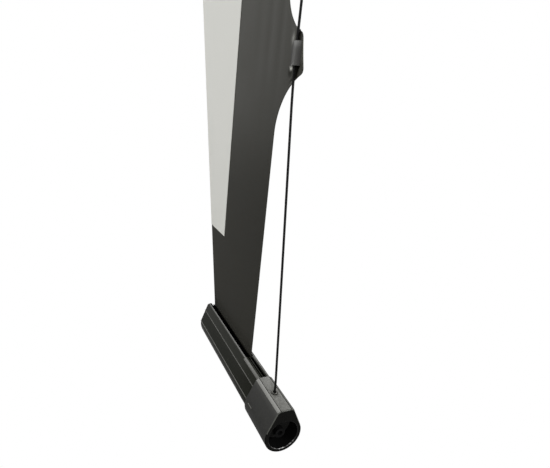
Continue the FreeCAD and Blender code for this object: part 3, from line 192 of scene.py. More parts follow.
class GroupSketch(NodeSketch):
    """A shader group under construction."""

    def __init__(self, name: str, inputs: dict[str, float], outputs: Sequence[str]) -> None:
        """Makes the group's sockets.

        Args:
            name: The group's name.
            inputs: Each input's name and first value.
            outputs: The outputs' names.
        """
        super().__init__(bpy.data.node_groups.new(name, "ShaderNodeTree"))
        sockets = self.tree.interface
        for label, value in inputs.items():
            sockets.new_socket(name=label, in_out="INPUT", socket_type="NodeSocketFloat").default_value = value
        for label in outputs:
            sockets.new_socket(name=label, in_out="OUTPUT", socket_type="NodeSocketFloat")
        self.given = self.add("NodeGroupInput").outputs

    def done(self, **results: Socket) -> bpy.types.NodeTree:
        """Feeds the group's outputs by name and hands the group over."""
        self.add("NodeGroupOutput", dict(results))
        return self.tree

    def coords(self, scale: Point | None = None) -> Socket:
        """The object coordinates, scaled by a fixed amount on each axis where one is given."""
        place = self.add("ShaderNodeTexCoord").outputs["Object"]
        return place if scale is None else self.add("ShaderNodeMapping", {"Scale": scale, "Vector": place}).outputs[0]

    def noise(self, source: Socket, scale: Value, detail: float, rough: float) -> Socket:
        """A noise value over coordinates, with its octaves and how strong each finer one is."""
        feeds = {"Vector": source, "Scale": scale, "Detail": detail, "Roughness": rough}
        return self.add("ShaderNodeTexNoise", feeds).outputs[0]

    def ripple(self, letter: str, per_metre: Socket) -> Socket:
        """A sine along one axis, lifted by a half.

        Args:
            letter: The axis.
            per_metre: Its turns on a metre.

        Returns:
            The lifted sine.
        """
        place = self.add("ShaderNodeSeparateXYZ", {0: self.coords()}).outputs[letter]
        turns = self.math("MULTIPLY", self.math("MULTIPLY", place, per_metre), 2 * math.pi)
        return self.math("MULTIPLY_ADD", self.math("SINE", turns), 0.5)


class Shading:
    """The shader groups that several finishes share, each built once."""

    @staticmethod
    @cache
    def grain() -> bpy.types.NodeTree:
        """Moulded grain: a fine height and a slow tone, both from object coordinates.

        Returns:
            The group, with Scale and Tone Scale in, Height and Tone out.
        """
        sketch = GroupSketch("moulded_grain", {"Scale": 900.0, "Tone Scale": 40.0}, ("Height", "Tone"))
        fine = sketch.noise(sketch.coords(), sketch.given["Scale"], detail=3.0, rough=0.65)
        slow = sketch.noise(sketch.coords(), sketch.given["Tone Scale"], detail=4.0, rough=0.6)
        return sketch.done(Height=fine, Tone=sketch.spread(slow, low=0.32, high=0.68))

    @staticmethod
    @cache
    def drawn_lines() -> bpy.types.NodeTree:
        """Die lines of an extrusion: streaks along X.

        Returns:
            The group, with Scale in, Height and Tone out.
        """
        streak, band, band_scale = (0.012, 1.0, 1.0), (0.15, 1.0, 1.0), 14.0
        sketch = GroupSketch("drawn_lines", {"Scale": 900.0}, ("Height", "Tone"))
        fine = sketch.noise(sketch.coords(streak), sketch.given["Scale"], detail=2.0, rough=0.5)
        slow = sketch.noise(sketch.coords(band), band_scale, detail=3.0, rough=0.55)
        return sketch.done(Height=fine, Tone=sketch.spread(slow, low=0.3, high=0.7))

    @staticmethod
    @cache
    def weave() -> bpy.types.NodeTree:
        """Plain weave across X and Z, with a slow cloudiness of the coat.

        Returns:
            The group, with Threads per metre and Cloud Scale in, Height and Tone out.
        """
        sketch = GroupSketch("plain_weave", {"Threads": 1400.0, "Cloud Scale": 9.0}, ("Height", "Tone"))
        across, down = (sketch.ripple(letter, sketch.given["Threads"]) for letter in "XZ")
        cloud = sketch.noise(sketch.coords(), sketch.given["Cloud Scale"], detail=5.0, rough=0.6)
        height = sketch.math("MULTIPLY", across, down)
        return sketch.done(Height=height, Tone=sketch.spread(cloud, low=0.3, high=0.7))

    @staticmethod
    @cache
    def dust() -> bpy.types.NodeTree:
        """A mask on what faces up: dusting on some finishes, a painted highlight on the caps' tops and rims.

        Returns:
            The group, with Scale, Start and Bare in and Mask out. Start is the upward share from which the mask begins,
            and Bare the share of the speckle that stays unmarked.
        """
        sketch = GroupSketch("settled_dust", {"Scale": 60.0, "Start": 0.25, "Bare": 0.38}, ("Mask",))
        normal = sketch.add("ShaderNodeNewGeometry").outputs["Normal"]
        facing = sketch.add("ShaderNodeSeparateXYZ", {0: normal}).outputs["Z"]
        upward = sketch.spread(facing, sketch.given["Start"], high=0.95)
        speckle = sketch.noise(sketch.coords(), sketch.given["Scale"], detail=6.0, rough=0.7)
        settled = sketch.spread(speckle, sketch.given["Bare"], high=0.66)
        return sketch.done(Mask=sketch.math("MULTIPLY", upward, settled))


class FinishSketch(NodeSketch):
    """A material under construction: one principled shader and what feeds it."""

    def __init__(self, name: str) -> None:
        """Starts a material.

        Args:
            name: Its name without the prefix.
        """
        self.material = bpy.data.materials.new(FINISH_PREFIX + name)
        self.material.use_nodes = True
        super().__init__(self.material.node_tree)

    def group(self, tree: bpy.types.NodeTree, **values: float) -> bpy.types.bpy_prop_collection:
        """The outputs of a shared group, placed with its own values."""
        feeds = {label.replace("_", " ").title(): value for label, value in values.items()}
        return self.add("ShaderNodeGroup", feeds, node_tree=tree).outputs

    def blend(self, factor: Socket, low: Value, high: Value) -> Socket:
        """A colour that runs from low to high as the factor runs from 0 to 1."""
        return self.add("ShaderNodeMix", {"Factor": factor, 6: low, 7: high}, data_type="RGBA").outputs[2]

    def bump(self, height: Socket, strength: float, distance: float) -> Socket:
        """A normal bent by a height that varies over the surface."""
        feeds = {"Strength": strength, "Distance": distance, "Height": height}
        return self.add("ShaderNodeBump", feeds).outputs["Normal"]

    def attribute(self, name: str) -> Socket:
        """A value that the mesh carries."""
        return self.add("ShaderNodeAttribute", attribute_name=name).outputs["Fac"]

    def done(self, colour: Socket, rough: Socket, normal: Socket, **plain: Value) -> bpy.types.Material:
        """Feeds the shader and hands the material over.

        Args:
            colour: The base colour.
            rough: The roughness.
            normal: The bent normal.
            **plain: What is the same all over, by its socket's name with underscores.

        Returns:
            The material.
        """
        named = {label.replace("_", " ").title().replace("Ior", "IOR"): value for label, value in plain.items()}
        sockets = self.tree.nodes["Principled BSDF"].inputs
        for label, source in {"Base Color": colour, "Roughness": rough, "Normal": normal, **named}.items():
            self.feed(sockets[label], source)
        return self.material


@dataclass(frozen=True)
class Moulded:
    """Moulded plastic with spark-eroded grain, slow tone and an upward mark: dusting, painted highlight on the caps."""

    name: str
    dark: Colour
    light: Colour
    rough: float = 0.5
    smoother: float = 0.06
    rougher: float = 0.08
    specular: float = 0.5
    grain_scale: float = 900.0
    grain_depth: float = 0.00004
    grain_strength: float = 0.35
    tone_scale: float = 45.0
    dust: Colour | None = None
    dust_scale: float = 60.0
    dust_start: float = 0.25
    dust_bare: float = 0.38

    def build(self) -> bpy.types.Material:
        """Makes the material.

        Returns:
            The material.
        """
        sketch = FinishSketch(self.name)
        grain = sketch.group(Shading.grain(), scale=self.grain_scale, tone_scale=self.tone_scale)
        colour = sketch.blend(grain["Tone"], self.dark, self.light)
        # The upward mark: dusting on some finishes, a painted highlight on the caps' tops and rims.
        if self.dust is not None:
            dust = sketch.group(Shading.dust(), scale=self.dust_scale, start=self.dust_start, bare=self.dust_bare)
            colour = sketch.blend(dust["Mask"], colour, self.dust)
        rough = sketch.between(grain["Tone"], self.rough - self.smoother, self.rough + self.rougher)
        normal = sketch.bump(grain["Height"], self.grain_strength, self.grain_depth)
        return sketch.done(colour, rough, normal, specular_ior_level=self.specular)


@dataclass(frozen=True)
class Extruded:
    """Drawn or extruded metal with die lines along X."""

    name: str
    dark: Colour
    light: Colour
    metallic: float = 1.0
    rough: float = 0.38
    smoother: float = 0.05
    rougher: float = 0.08
    line_scale: float = 900.0
    line_depth: float = 0.00002
    line_strength: float = 0.25
    specular: float = 0.5
    tint: Colour = WHITE

    def build(self) -> bpy.types.Material:
        """Makes the material.

        Returns:
            The material.
        """
        sketch = FinishSketch(self.name)
        lines = sketch.group(Shading.drawn_lines(), scale=self.line_scale)
        colour = sketch.blend(lines["Tone"], self.dark, self.light)
        rough = sketch.between(lines["Tone"], self.rough - self.smoother, self.rough + self.rougher)
        normal = sketch.bump(lines["Height"], self.line_strength, self.line_depth)
        return sketch.done(
            colour, rough, normal, metallic=self.metallic, specular_ior_level=self.specular, specular_tint=self.tint
        )


@dataclass(frozen=True)
class Coated:
    """Powder coat: orange peel, slow tone and settled dust."""

    name: str
    dark: Colour
    light: Colour
    rough: float = 0.46
    dusty: float = 0.25
    specular: float = 0.5
    peel_scale: float = 420.0
    peel_depth: float = 0.00006
    peel_strength: float = 0.3
    tone_scale: float = 6.0
    dust: Colour = (0.16, 0.155, 0.145, 1.0)
    dust_scale: float = 35.0

    def build(self) -> bpy.types.Material:
        """Makes the material.

        Returns:
            The material.
        """
        sketch = FinishSketch(self.name)
        grain = sketch.group(Shading.grain(), scale=self.peel_scale, tone_scale=self.tone_scale)
        dust = sketch.group(Shading.dust(), scale=self.dust_scale)
        colour = sketch.blend(dust["Mask"], sketch.blend(grain["Tone"], self.dark, self.light), self.dust)
        rough = sketch.between(dust["Mask"], self.rough, self.rough + self.dusty)
        normal = sketch.bump(grain["Height"], self.peel_strength, self.peel_depth)
        return sketch.done(colour, rough, normal, specular_ior_level=self.specular)


@dataclass(frozen=True)
class Woven:
    """Coated cloth: a fine weave under a slightly cloudy coat, with optional marks of painted shade and painted
    highlight.
    """

    name: str
    dark: Colour
    light: Colour
    rough: float = 0.72
    rough_swing: float = 0.05
    specular: float = 0.4
    threads: float = 1400.0
    weave_depth: float = 0.00003
    weave_strength: float = 0.3
    cloud_scale: float = 9.0
    tint: Colour = WHITE
    rub_mark: Colour | None = None
    scuff_mark: Colour | None = None

    def build(self) -> bpy.types.Material:
        """Makes the material.

        Returns:
            The material.
        """
        sketch = FinishSketch(self.name)
        weave = sketch.group(Shading.weave(), threads=self.threads, cloud_scale=self.cloud_scale)
        colour = sketch.blend(weave["Tone"], self.dark, self.light)
        rough = sketch.between(weave["Tone"], self.rough - self.rough_swing, self.rough + self.rough_swing)
        # The first mark is painted shade on the cloth and a painted highlight on the sleeves; the second is painted
        # highlight on the cloth.
        if self.rub_mark is not None:
            rub = sketch.attribute("rub")
            colour = sketch.blend(rub, colour, self.rub_mark)
            rough = sketch.math("MAXIMUM", rough, rub)
        if self.scuff_mark is not None:
            colour = sketch.blend(sketch.attribute("scuff"), colour, self.scuff_mark)
        normal = sketch.bump(weave["Height"], self.weave_strength, self.weave_depth)
        return sketch.done(colour, rough, normal, specular_ior_level=self.specular, specular_tint=self.tint)


class Finish(Enum):
    """Every finish on the screen."""

    HOUSING_BLACK = Coated("housing_black", srgb(36, 36, 36), srgb(44, 44, 43))
    BRACKET_BLACK = Coated("bracket_black", srgb(40, 40, 40), srgb(50, 50, 49), rough=0.5)
    BAR_ANODISED = Extruded(
        "bar_anodised", srgb(21, 22, 18), srgb(29, 30, 25), metallic=0.0, rough=0.24, specular=0.10,
        tint=(1.0, 1.0, 0.88, 1.0),
    )
    # Painted shade: near-black for the bar's slot and for the lip beside the cloth, which the cloth shades.
    BAR_INNER = Extruded("bar_inner", srgb(2, 2, 2), srgb(3, 3, 3), metallic=0.0, rough=0.8, specular=0.0)
    # Painted highlight: lighter lip tops and beads, drawn as thin lit lines; the cap ribs carry it too.
    BAR_RUBBED = Extruded("bar_rubbed", srgb(62, 62, 57), srgb(74, 74, 69), metallic=0.0, rough=0.34, specular=0.4)
    # The caps' body: its upward mark paints their tops lighter, a painted highlight of the light from above.
    CAP_GRAIN = Moulded(
        "cap_grain", srgb(39, 39, 37), srgb(43, 43, 41), rough=0.4, specular=0.18, grain_scale=1100.0,
        grain_depth=0.00006, grain_strength=0.3, tone_scale=320.0, dust=srgb(108, 108, 104), dust_scale=700.0,
        dust_start=0.6, dust_bare=0.0,
    )
    # Painted highlight: the front chamfer strip of each cap, far lighter than its black.
    CAP_STRIP = Moulded("cap_strip", srgb(118, 118, 114), srgb(126, 126, 122), rough=0.36, specular=0.3)
    # The caps' end faces: a duller black, and darker than their sides as painted shade for faces turned from the light.
    CAP_END = Moulded("cap_end", srgb(14, 14, 13), srgb(17, 17, 16), rough=0.62, specular=0.02)
    # Painted highlight: a lighter copy of the caps' black for the rounded edges of their ends, also on the top's rear
    # strip.
    CAP_EDGE = Moulded("cap_edge", srgb(60, 61, 56), srgb(68, 69, 64), rough=0.4, specular=0.3)
    # The recess floor: a lighter copy of the caps' black, painted light against the recess's shadow.
    CAP_HOLLOW = Moulded("cap_hollow", srgb(28, 28, 27), srgb(33, 33, 32), rough=0.6, specular=0.04)
    # Painted shade: a near-black copy of the caps' black for the recess walls and the grooves by the top.
    CAP_WELL = Moulded("cap_well", srgb(7, 7, 7), srgb(9, 9, 9), rough=0.6, specular=0.03)
    # The recess's rim: its pale upward speckle paints glints on it, painted highlights.
    CAP_RIM = Moulded(
        "cap_rim", srgb(12, 12, 12), srgb(16, 16, 16), rough=0.22, specular=0.5, grain_strength=0.05,
        dust=srgb(225, 225, 222), dust_scale=280.0, dust_start=0.3, dust_bare=0.5,
    )
    END_CAP = Moulded("end_cap_grain", srgb(34, 34, 34), srgb(44, 44, 43), rough=0.55, dust=srgb(88, 87, 84))
    # The black cloth: its dark mark is painted shade in the sleeves' openings and below their feet, its pale mark
    # painted highlight beside them and light on the flaps and hem.
    CLOTH_BLACK = Woven(
        "black_cloth", srgb(27, 26, 23), srgb(35, 34, 29), rough=0.44, specular=0.20,
        tint=(1.0, 0.98, 0.72, 1.0), rub_mark=srgb(4, 4, 4), scuff_mark=srgb(199, 199, 193),
    )
    # The sleeves: their pale mark is a painted highlight on the crowns and lower inner corners.
    SLEEVE_BLACK = Woven(
        "sleeve_black", srgb(27, 26, 23), srgb(35, 34, 32), rough=0.54, specular=0.22, rub_mark=srgb(158, 158, 156)
    )
    SCREEN_WHITE = Woven(
        "screen_white", srgb(201, 201, 195), srgb(206, 206, 201), rough=0.5, specular=0.4,
        threads=2200.0, weave_depth=0.00001, cloud_scale=3.0,
    )
    CABLE_BLACK = Moulded("cable_black", srgb(8, 8, 8), srgb(13, 13, 13), rough=0.6, specular=0.12, grain_strength=0.04)
    EYELET = Extruded("eyelet_metal", srgb(60, 60, 57), srgb(80, 80, 76), rough=0.32)
    ZINC = Extruded("zinc_steel", srgb(150, 152, 154), srgb(178, 180, 182), rough=0.34)
    # A dull black screw, darker still as painted shade for the recess it sits in.
    SCREW_DULL = Moulded("dull_black_screw", srgb(7, 7, 7), srgb(10, 10, 10), rough=0.6, specular=0.08)
    SCREW_BLACK = Extruded("black_oxide", srgb(38, 38, 38), srgb(56, 56, 56), rough=0.4)
    TUBE_ALUMINIUM = Extruded("tube_aluminium", srgb(188, 189, 190), srgb(206, 207, 208), rough=0.36)
    MOTOR_GREY = Coated("motor_grey", srgb(120, 122, 124), srgb(132, 134, 136))
    NYLON_BLACK = Moulded("nylon_black", srgb(34, 34, 34), srgb(44, 44, 44))
    NYLON_PALE = Moulded("nylon_pale", srgb(214, 210, 196), srgb(224, 220, 208), rough=0.55)
    BRASS = Extruded("brass_fitting", srgb(190, 158, 84), srgb(212, 180, 104), rough=0.28)
    BOX_PLASTIC = Moulded("box_plastic", srgb(52, 52, 54), srgb(62, 62, 64))
    BOARD_GREEN = Moulded("board_green", srgb(20, 84, 44), srgb(30, 100, 54), rough=0.35)
    LEAD_RUBBER = Moulded("lead_rubber", srgb(24, 24, 24), srgb(34, 34, 34), rough=0.68)
    EYE_RED = Moulded("eye_red", srgb(44, 6, 8), srgb(58, 8, 10), rough=0.08, grain_strength=0.02)
    LIMIT_WHITE = Moulded("limit_white", srgb(226, 226, 222), srgb(236, 236, 232))
    LIMIT_YELLOW = Moulded("limit_yellow", srgb(226, 178, 40), srgb(238, 194, 60))

    @property
    def material(self) -> bpy.types.Material:
        """The finish's material, made when it is first asked for."""
        return bpy.data.materials.get(FINISH_PREFIX + self.value.name) or self.value.build()


CAD_FINISHES: dict[Finish, tuple[str, ...]] = {
    Finish.HOUSING_BLACK: ("housing_shell", "service_cover"),
    Finish.BRACKET_BLACK: pair("wall_bracket"),
    Finish.BAR_ANODISED: ("weight_bar",),
    Finish.END_CAP: pair("end_cap"),
    Finish.CAP_GRAIN: pair("bar_cap"),
    Finish.CLOTH_BLACK: ("backing_fabric", *pair("tab_sleeves"), "hem_loop", "fabric_wrap"),
    Finish.SCREEN_WHITE: ("viewing_surface",),
    Finish.CABLE_BLACK: (*pair("cable"), *pair("cable_tail")),
    Finish.EYELET: pair("eyelet"),
    Finish.ZINC: (
        "motor_plate", "idler_plate", "bracket_nuts", "ballast_bar", "motor_screws", "idler_pin", "drive_shaft",
        *pair("cable_post"),
    ),
    Finish.SCREW_BLACK: ("cover_screws", "end_cap_screws", "bracket_bolts", "bar_cap_screws"),
    Finish.SCREW_DULL: pair("tension_screw"),
    Finish.TUBE_ALUMINIUM: ("roller_tube",),
    Finish.MOTOR_GREY: ("motor_can",),
    Finish.NYLON_BLACK: ("motor_head", "drive_wheel", "limit_crown", "idler_plug"),
    Finish.NYLON_PALE: ("idler_bush", "fabric_spline", "hem_rod"),
    Finish.BRASS: (*pair("tension_slider"), *pair("cable_ferrule")),
    Finish.BOX_PLASTIC: ("control_box", "control_lid"),
    Finish.BOARD_GREEN: ("control_board",),
    Finish.LEAD_RUBBER: ("motor_lead", "cord_gland"),
    Finish.EYE_RED: ("ir_window",),
    Finish.LIMIT_WHITE: ("limit_screw_up",),
    Finish.LIMIT_YELLOW: ("limit_screw_down",),
}


def dress(mesh: bpy.types.Mesh, *finishes: Finish) -> None:
    """Gives a mesh these finishes in place of its own.

    Args:
        mesh: The mesh.
        *finishes: The finishes in the order of its faces' numbers.
    """
    mesh.materials.clear()
    for finish in finishes:
        mesh.materials.append(finish.material)


def paint_cad_nodes() -> None:
    """Gives every carried-over node its finish."""
    for finish, names in CAD_FINISHES.items():
        for name in names:
            dress(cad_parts[name].data, finish)


def link_piece(name: str, mesh: bpy.types.Mesh) -> bpy.types.Object:
    """Puts a mesh into the scene as a piece at the origin.

    Args:
        name: The piece's name.
        mesh: Its mesh.

    Returns:
        The new piece.
    """
    piece = bpy.data.objects.new(name, mesh)
    bpy.context.scene.collection.objects.link(piece)
    return piece


def mesh_piece(name: str, points: np.ndarray, faces: Sequence[Sequence[int]], finish: Finish) -> bpy.types.Object:
    """Makes a piece from points and faces.

    Args:
        name: The piece's name.
        points: The vertices.
        faces: The faces as rows of vertex numbers.
        finish: What it is made of.

    Returns:
        The new piece.
    """
    mesh = bpy.data.meshes.new(name)
    mesh.from_pydata([tuple(p) for p in points], [], [tuple(f) for f in faces])
    dress(mesh, finish)
    return link_piece(name, mesh)


def mark(mesh: bpy.types.Mesh, name: str, values: np.ndarray) -> None:
    """Gives every vertex a value that a finish reads by its name."""
    mesh.attributes.new(name, "FLOAT", "POINT").data.foreach_set("value", values.astype(np.float32))


def baked(piece: bpy.types.Object) -> bpy.types.Object:
    """Turns a piece's modifiers into plain mesh.

    Args:
        piece: The piece with modifiers on it.

    Returns:
        The same piece with its modifiers gone.
    """
    graph = bpy.context.evaluated_depsgraph_get()
    graph.update()
    mesh = bpy.data.meshes.new_from_object(piece.evaluated_get(graph), preserve_all_data_layers=True, depsgraph=graph)
    piece.modifiers.clear()
    piece.data = mesh
    mesh.name = piece.name
    return piece


def modified(piece: bpy.types.Object, kind: str, **settings: object) -> bpy.types.Object:
    """Runs one modifier on a piece.

    Args:
        piece: The piece.
        kind: The modifier's type.
        **settings: The modifier's settings.

    Returns:
        The same piece with the result as its mesh.
    """
    modifier = piece.modifiers.new(kind.lower(), kind)
    for name, value in settings.items():
        setattr(modifier, name, value)
    return baked(piece)


def thicken(piece: bpy.types.Object, thickness: float) -> bpy.types.Object:
    """Gives a one-layer sheet its thickness, behind its front."""
    return modified(piece, "SOLIDIFY", thickness=thickness, offset=-1.0, use_even_offset=False)


def shade_by_angle(piece: bpy.types.Object, degrees: float) -> None:
    """Smooths a piece's faces and keeps edges sharper than an angle."""
    piece.data.shade_smooth()
    piece.data.set_sharp_from_angle(angle=math.radians(degrees))


def softened_copy(
    node: str, name: str, finishes: Sequence[Finish], edge: float, shape: Shape | None = None
) -> bpy.types.Object:
    """A copy of a node with its edges broken, so that they catch the light.

    Args:
        node: The node that is copied and then stood for.
        name: The new piece's name.
        finishes: What it is made of, the first of them all over.
        edge: The width of the broken edges.
        shape: What else is done to the copy before its edges are broken.

    Returns:
        The new piece.
    """
    mesh = bpy.data.meshes.new(name)
    work = bmesh.new()
    work.from_mesh(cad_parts[node].data)
    bmesh.ops.remove_doubles(work, verts=work.verts, dist=SAME_PLACE)
    bmesh.ops.dissolve_limit(work, angle_limit=math.radians(FLAT_ANGLE), verts=work.verts, edges=work.edges)
    if shape is not None:
        shape(work)
    work.to_mesh(mesh)
    work.free()
    dress(mesh, *finishes)
    piece = modified(
        link_piece(name, mesh), "BEVEL", width=edge, segments=BROKEN_STEPS, limit_method="ANGLE",
        angle_limit=math.radians(BROKEN_ANGLE), use_clamp_overlap=True,
    )
    shade_by_angle(piece, COPY_CREASE)
    return piece


def settle(piece: bpy.types.Object, body: Body, slot: str, *nodes: str) -> bpy.types.Object:
    """Sets a finished piece on its body and reports it.

    Args:
        piece: The piece.
        body: What it moves with.
        slot: Its record slot; not used.
        *nodes: The nodes that it stands for.

    Returns:
        The same piece.
    """
    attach(piece, body.value)
    if nodes:
        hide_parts(*nodes)
    LOG.info("%s: %d faces", piece.name, len(piece.data.polygons))
    return piece


class Repeater:
    """Geometry Nodes that repeat one piece, each tree built once."""

    @staticmethod
    def _start(name: str, **inputs: str) -> tuple[NodeSketch, bpy.types.bpy_prop_collection]:
        """Opens a tree with geometry and a material going in.

        Args:
            name: The tree's name.
            **inputs: Its further inputs, each with its kind of socket.

        Returns:
            The tree's sketch and what goes in.
        """
        tree = bpy.data.node_groups.new(name, "GeometryNodeTree")
        tree.is_modifier = True
        for label, kind in {"Geometry": "Geometry", "Material": "Material", **inputs}.items():
            tree.interface.new_socket(name=label, in_out="INPUT", socket_type="NodeSocket" + kind)
        tree.interface.new_socket(name="Geometry", in_out="OUTPUT", socket_type="NodeSocketGeometry")
        sketch = NodeSketch(tree)
        return sketch, sketch.add("NodeGroupInput").outputs

    @staticmethod
    def _end(sketch: NodeSketch, material: Socket, copies: dict[str, Socket]) -> bpy.types.NodeTree:
        """Ends a tree in plain geometry with its material.

        Args:
            sketch: The tree's sketch.
            material: The material that goes in.
            copies: What is put where, by the names of the instancing node's inputs.

        Returns:
            The tree.
        """
        instances = sketch.add("GeometryNodeInstanceOnPoints", dict(copies)).outputs["Instances"]
        real = sketch.add("GeometryNodeRealizeInstances", {"Geometry": instances}).outputs["Geometry"]
        dressed = sketch.add("GeometryNodeSetMaterial", {"Geometry": real, "Material": material}).outputs["Geometry"]
        sketch.add("NodeGroupOutput", {"Geometry": dressed})
        return sketch.tree

    @classmethod
    @cache
    def row(cls) -> bpy.types.NodeTree:
        """Repeats the piece itself along a straight row.

        Returns:
            The tree, with Count and Step in.
        """
        sketch, given = cls._start("row_of_pieces", Count="Int", Step="Vector")
        line = sketch.add("GeometryNodeMeshLine", {"Count": given["Count"], "Offset": given["Step"]}, mode="OFFSET")
        copies = {"Points": line.outputs["Mesh"], "Instance": given["Geometry"]}
        return cls._end(sketch, given["Material"], copies)

    @classmethod
    @cache
    def at_points(cls) -> bpy.types.NodeTree:
        """Puts a master piece on every point, turned so that its Z follows the point's axis.

        Returns:
            The tree, with Master in.
        """
        sketch, given = cls._start("piece_at_points", Master="Object")
        master = sketch.add("GeometryNodeObjectInfo", {"Object": given["Master"]}).outputs["Geometry"]
        axis = sketch.add("GeometryNodeInputNamedAttribute", {"Name": "axis"}, data_type="FLOAT_VECTOR")
        turn = sketch.add("FunctionNodeAlignRotationToVector", {"Vector": axis.outputs["Attribute"]}, axis="Z")
        copies = {"Points": given["Geometry"], "Instance": master, "Rotation": turn.outputs["Rotation"]}
        return cls._end(sketch, given["Material"], copies)

    @staticmethod
    def apply(piece: bpy.types.Object, tree: bpy.types.NodeTree, **values: object) -> bpy.types.Object:
        """Runs a tree on a piece and keeps the result as plain mesh.

        Args:
            piece: The piece that goes in.
            tree: The tree to run.
            **values: The tree's inputs by name.

        Returns:
            The same piece with the result as its mesh.
        """
        modifier = piece.modifiers.new("repeat", "NODES")
        modifier.node_group = tree
        for item in tree.interface.items_tree:
            if item.in_out == "INPUT" and item.name in values:
                modifier[item.identifier] = values[item.name]
        return baked(piece)


@dataclass
class Lobe:
    """Outline of one tab lobe: flap, slopes and the scallops that run into the cloth's edge.

    The lobe leans: trim is the share of its reach lost at the middle, and lean the further share lost for each metre
    of rise.
    """

    reach: float = 0.034
    flap_half: float = 0.0126
    rise: float = 0.0146
    flap_round: float = 0.005
    scallop: float = 0.045
    trim: float = 0.035
    lean: float = 6.5

    def __post_init__(self) -> None:
        """Works out where the arcs start and end."""
        slope = Vector((-self.reach, self.rise)).normalized()
        half_turn = math.acos(slope.y) / 2
        flap_cut = self.flap_round * math.tan(half_turn)
        root_cut = self.scallop * math.tan(half_turn)
        self.flap_end = self.flap_half - flap_cut
        self.slope_start = self.flap_half + flap_cut * slope.y
        self.slope_end = self.flap_half + self.rise - root_cut * slope.y
        self.foot = self.flap_half + self.rise + root_cut

    def reach_at(self, drop: np.ndarray) -> np.ndarray:
        """How far the lobe stands out of the straight edge.

        Args:
            drop: Distances above or below the tab's middle.

        Returns:
            The reach at each distance.
        """
        away = np.abs(drop)
        rounded = self.reach - self.flap_round + np.sqrt(
            np.maximum(self.flap_round**2 - (away - self.flap_end) ** 2, 0.0)
        )
        slope = self.reach * (self.flap_half + self.rise - away) / self.rise
        scallop = self.scallop - np.sqrt(np.maximum(self.scallop**2 - (self.foot - away) ** 2, 0.0))
        upright = np.select(
            [away <= self.flap_end, away <= self.slope_start, away <= self.slope_end, away < self.foot],
            [self.reach, rounded, slope, scallop],
            0.0,
        )
        return upright * (1.0 - self.trim - self.lean * drop)


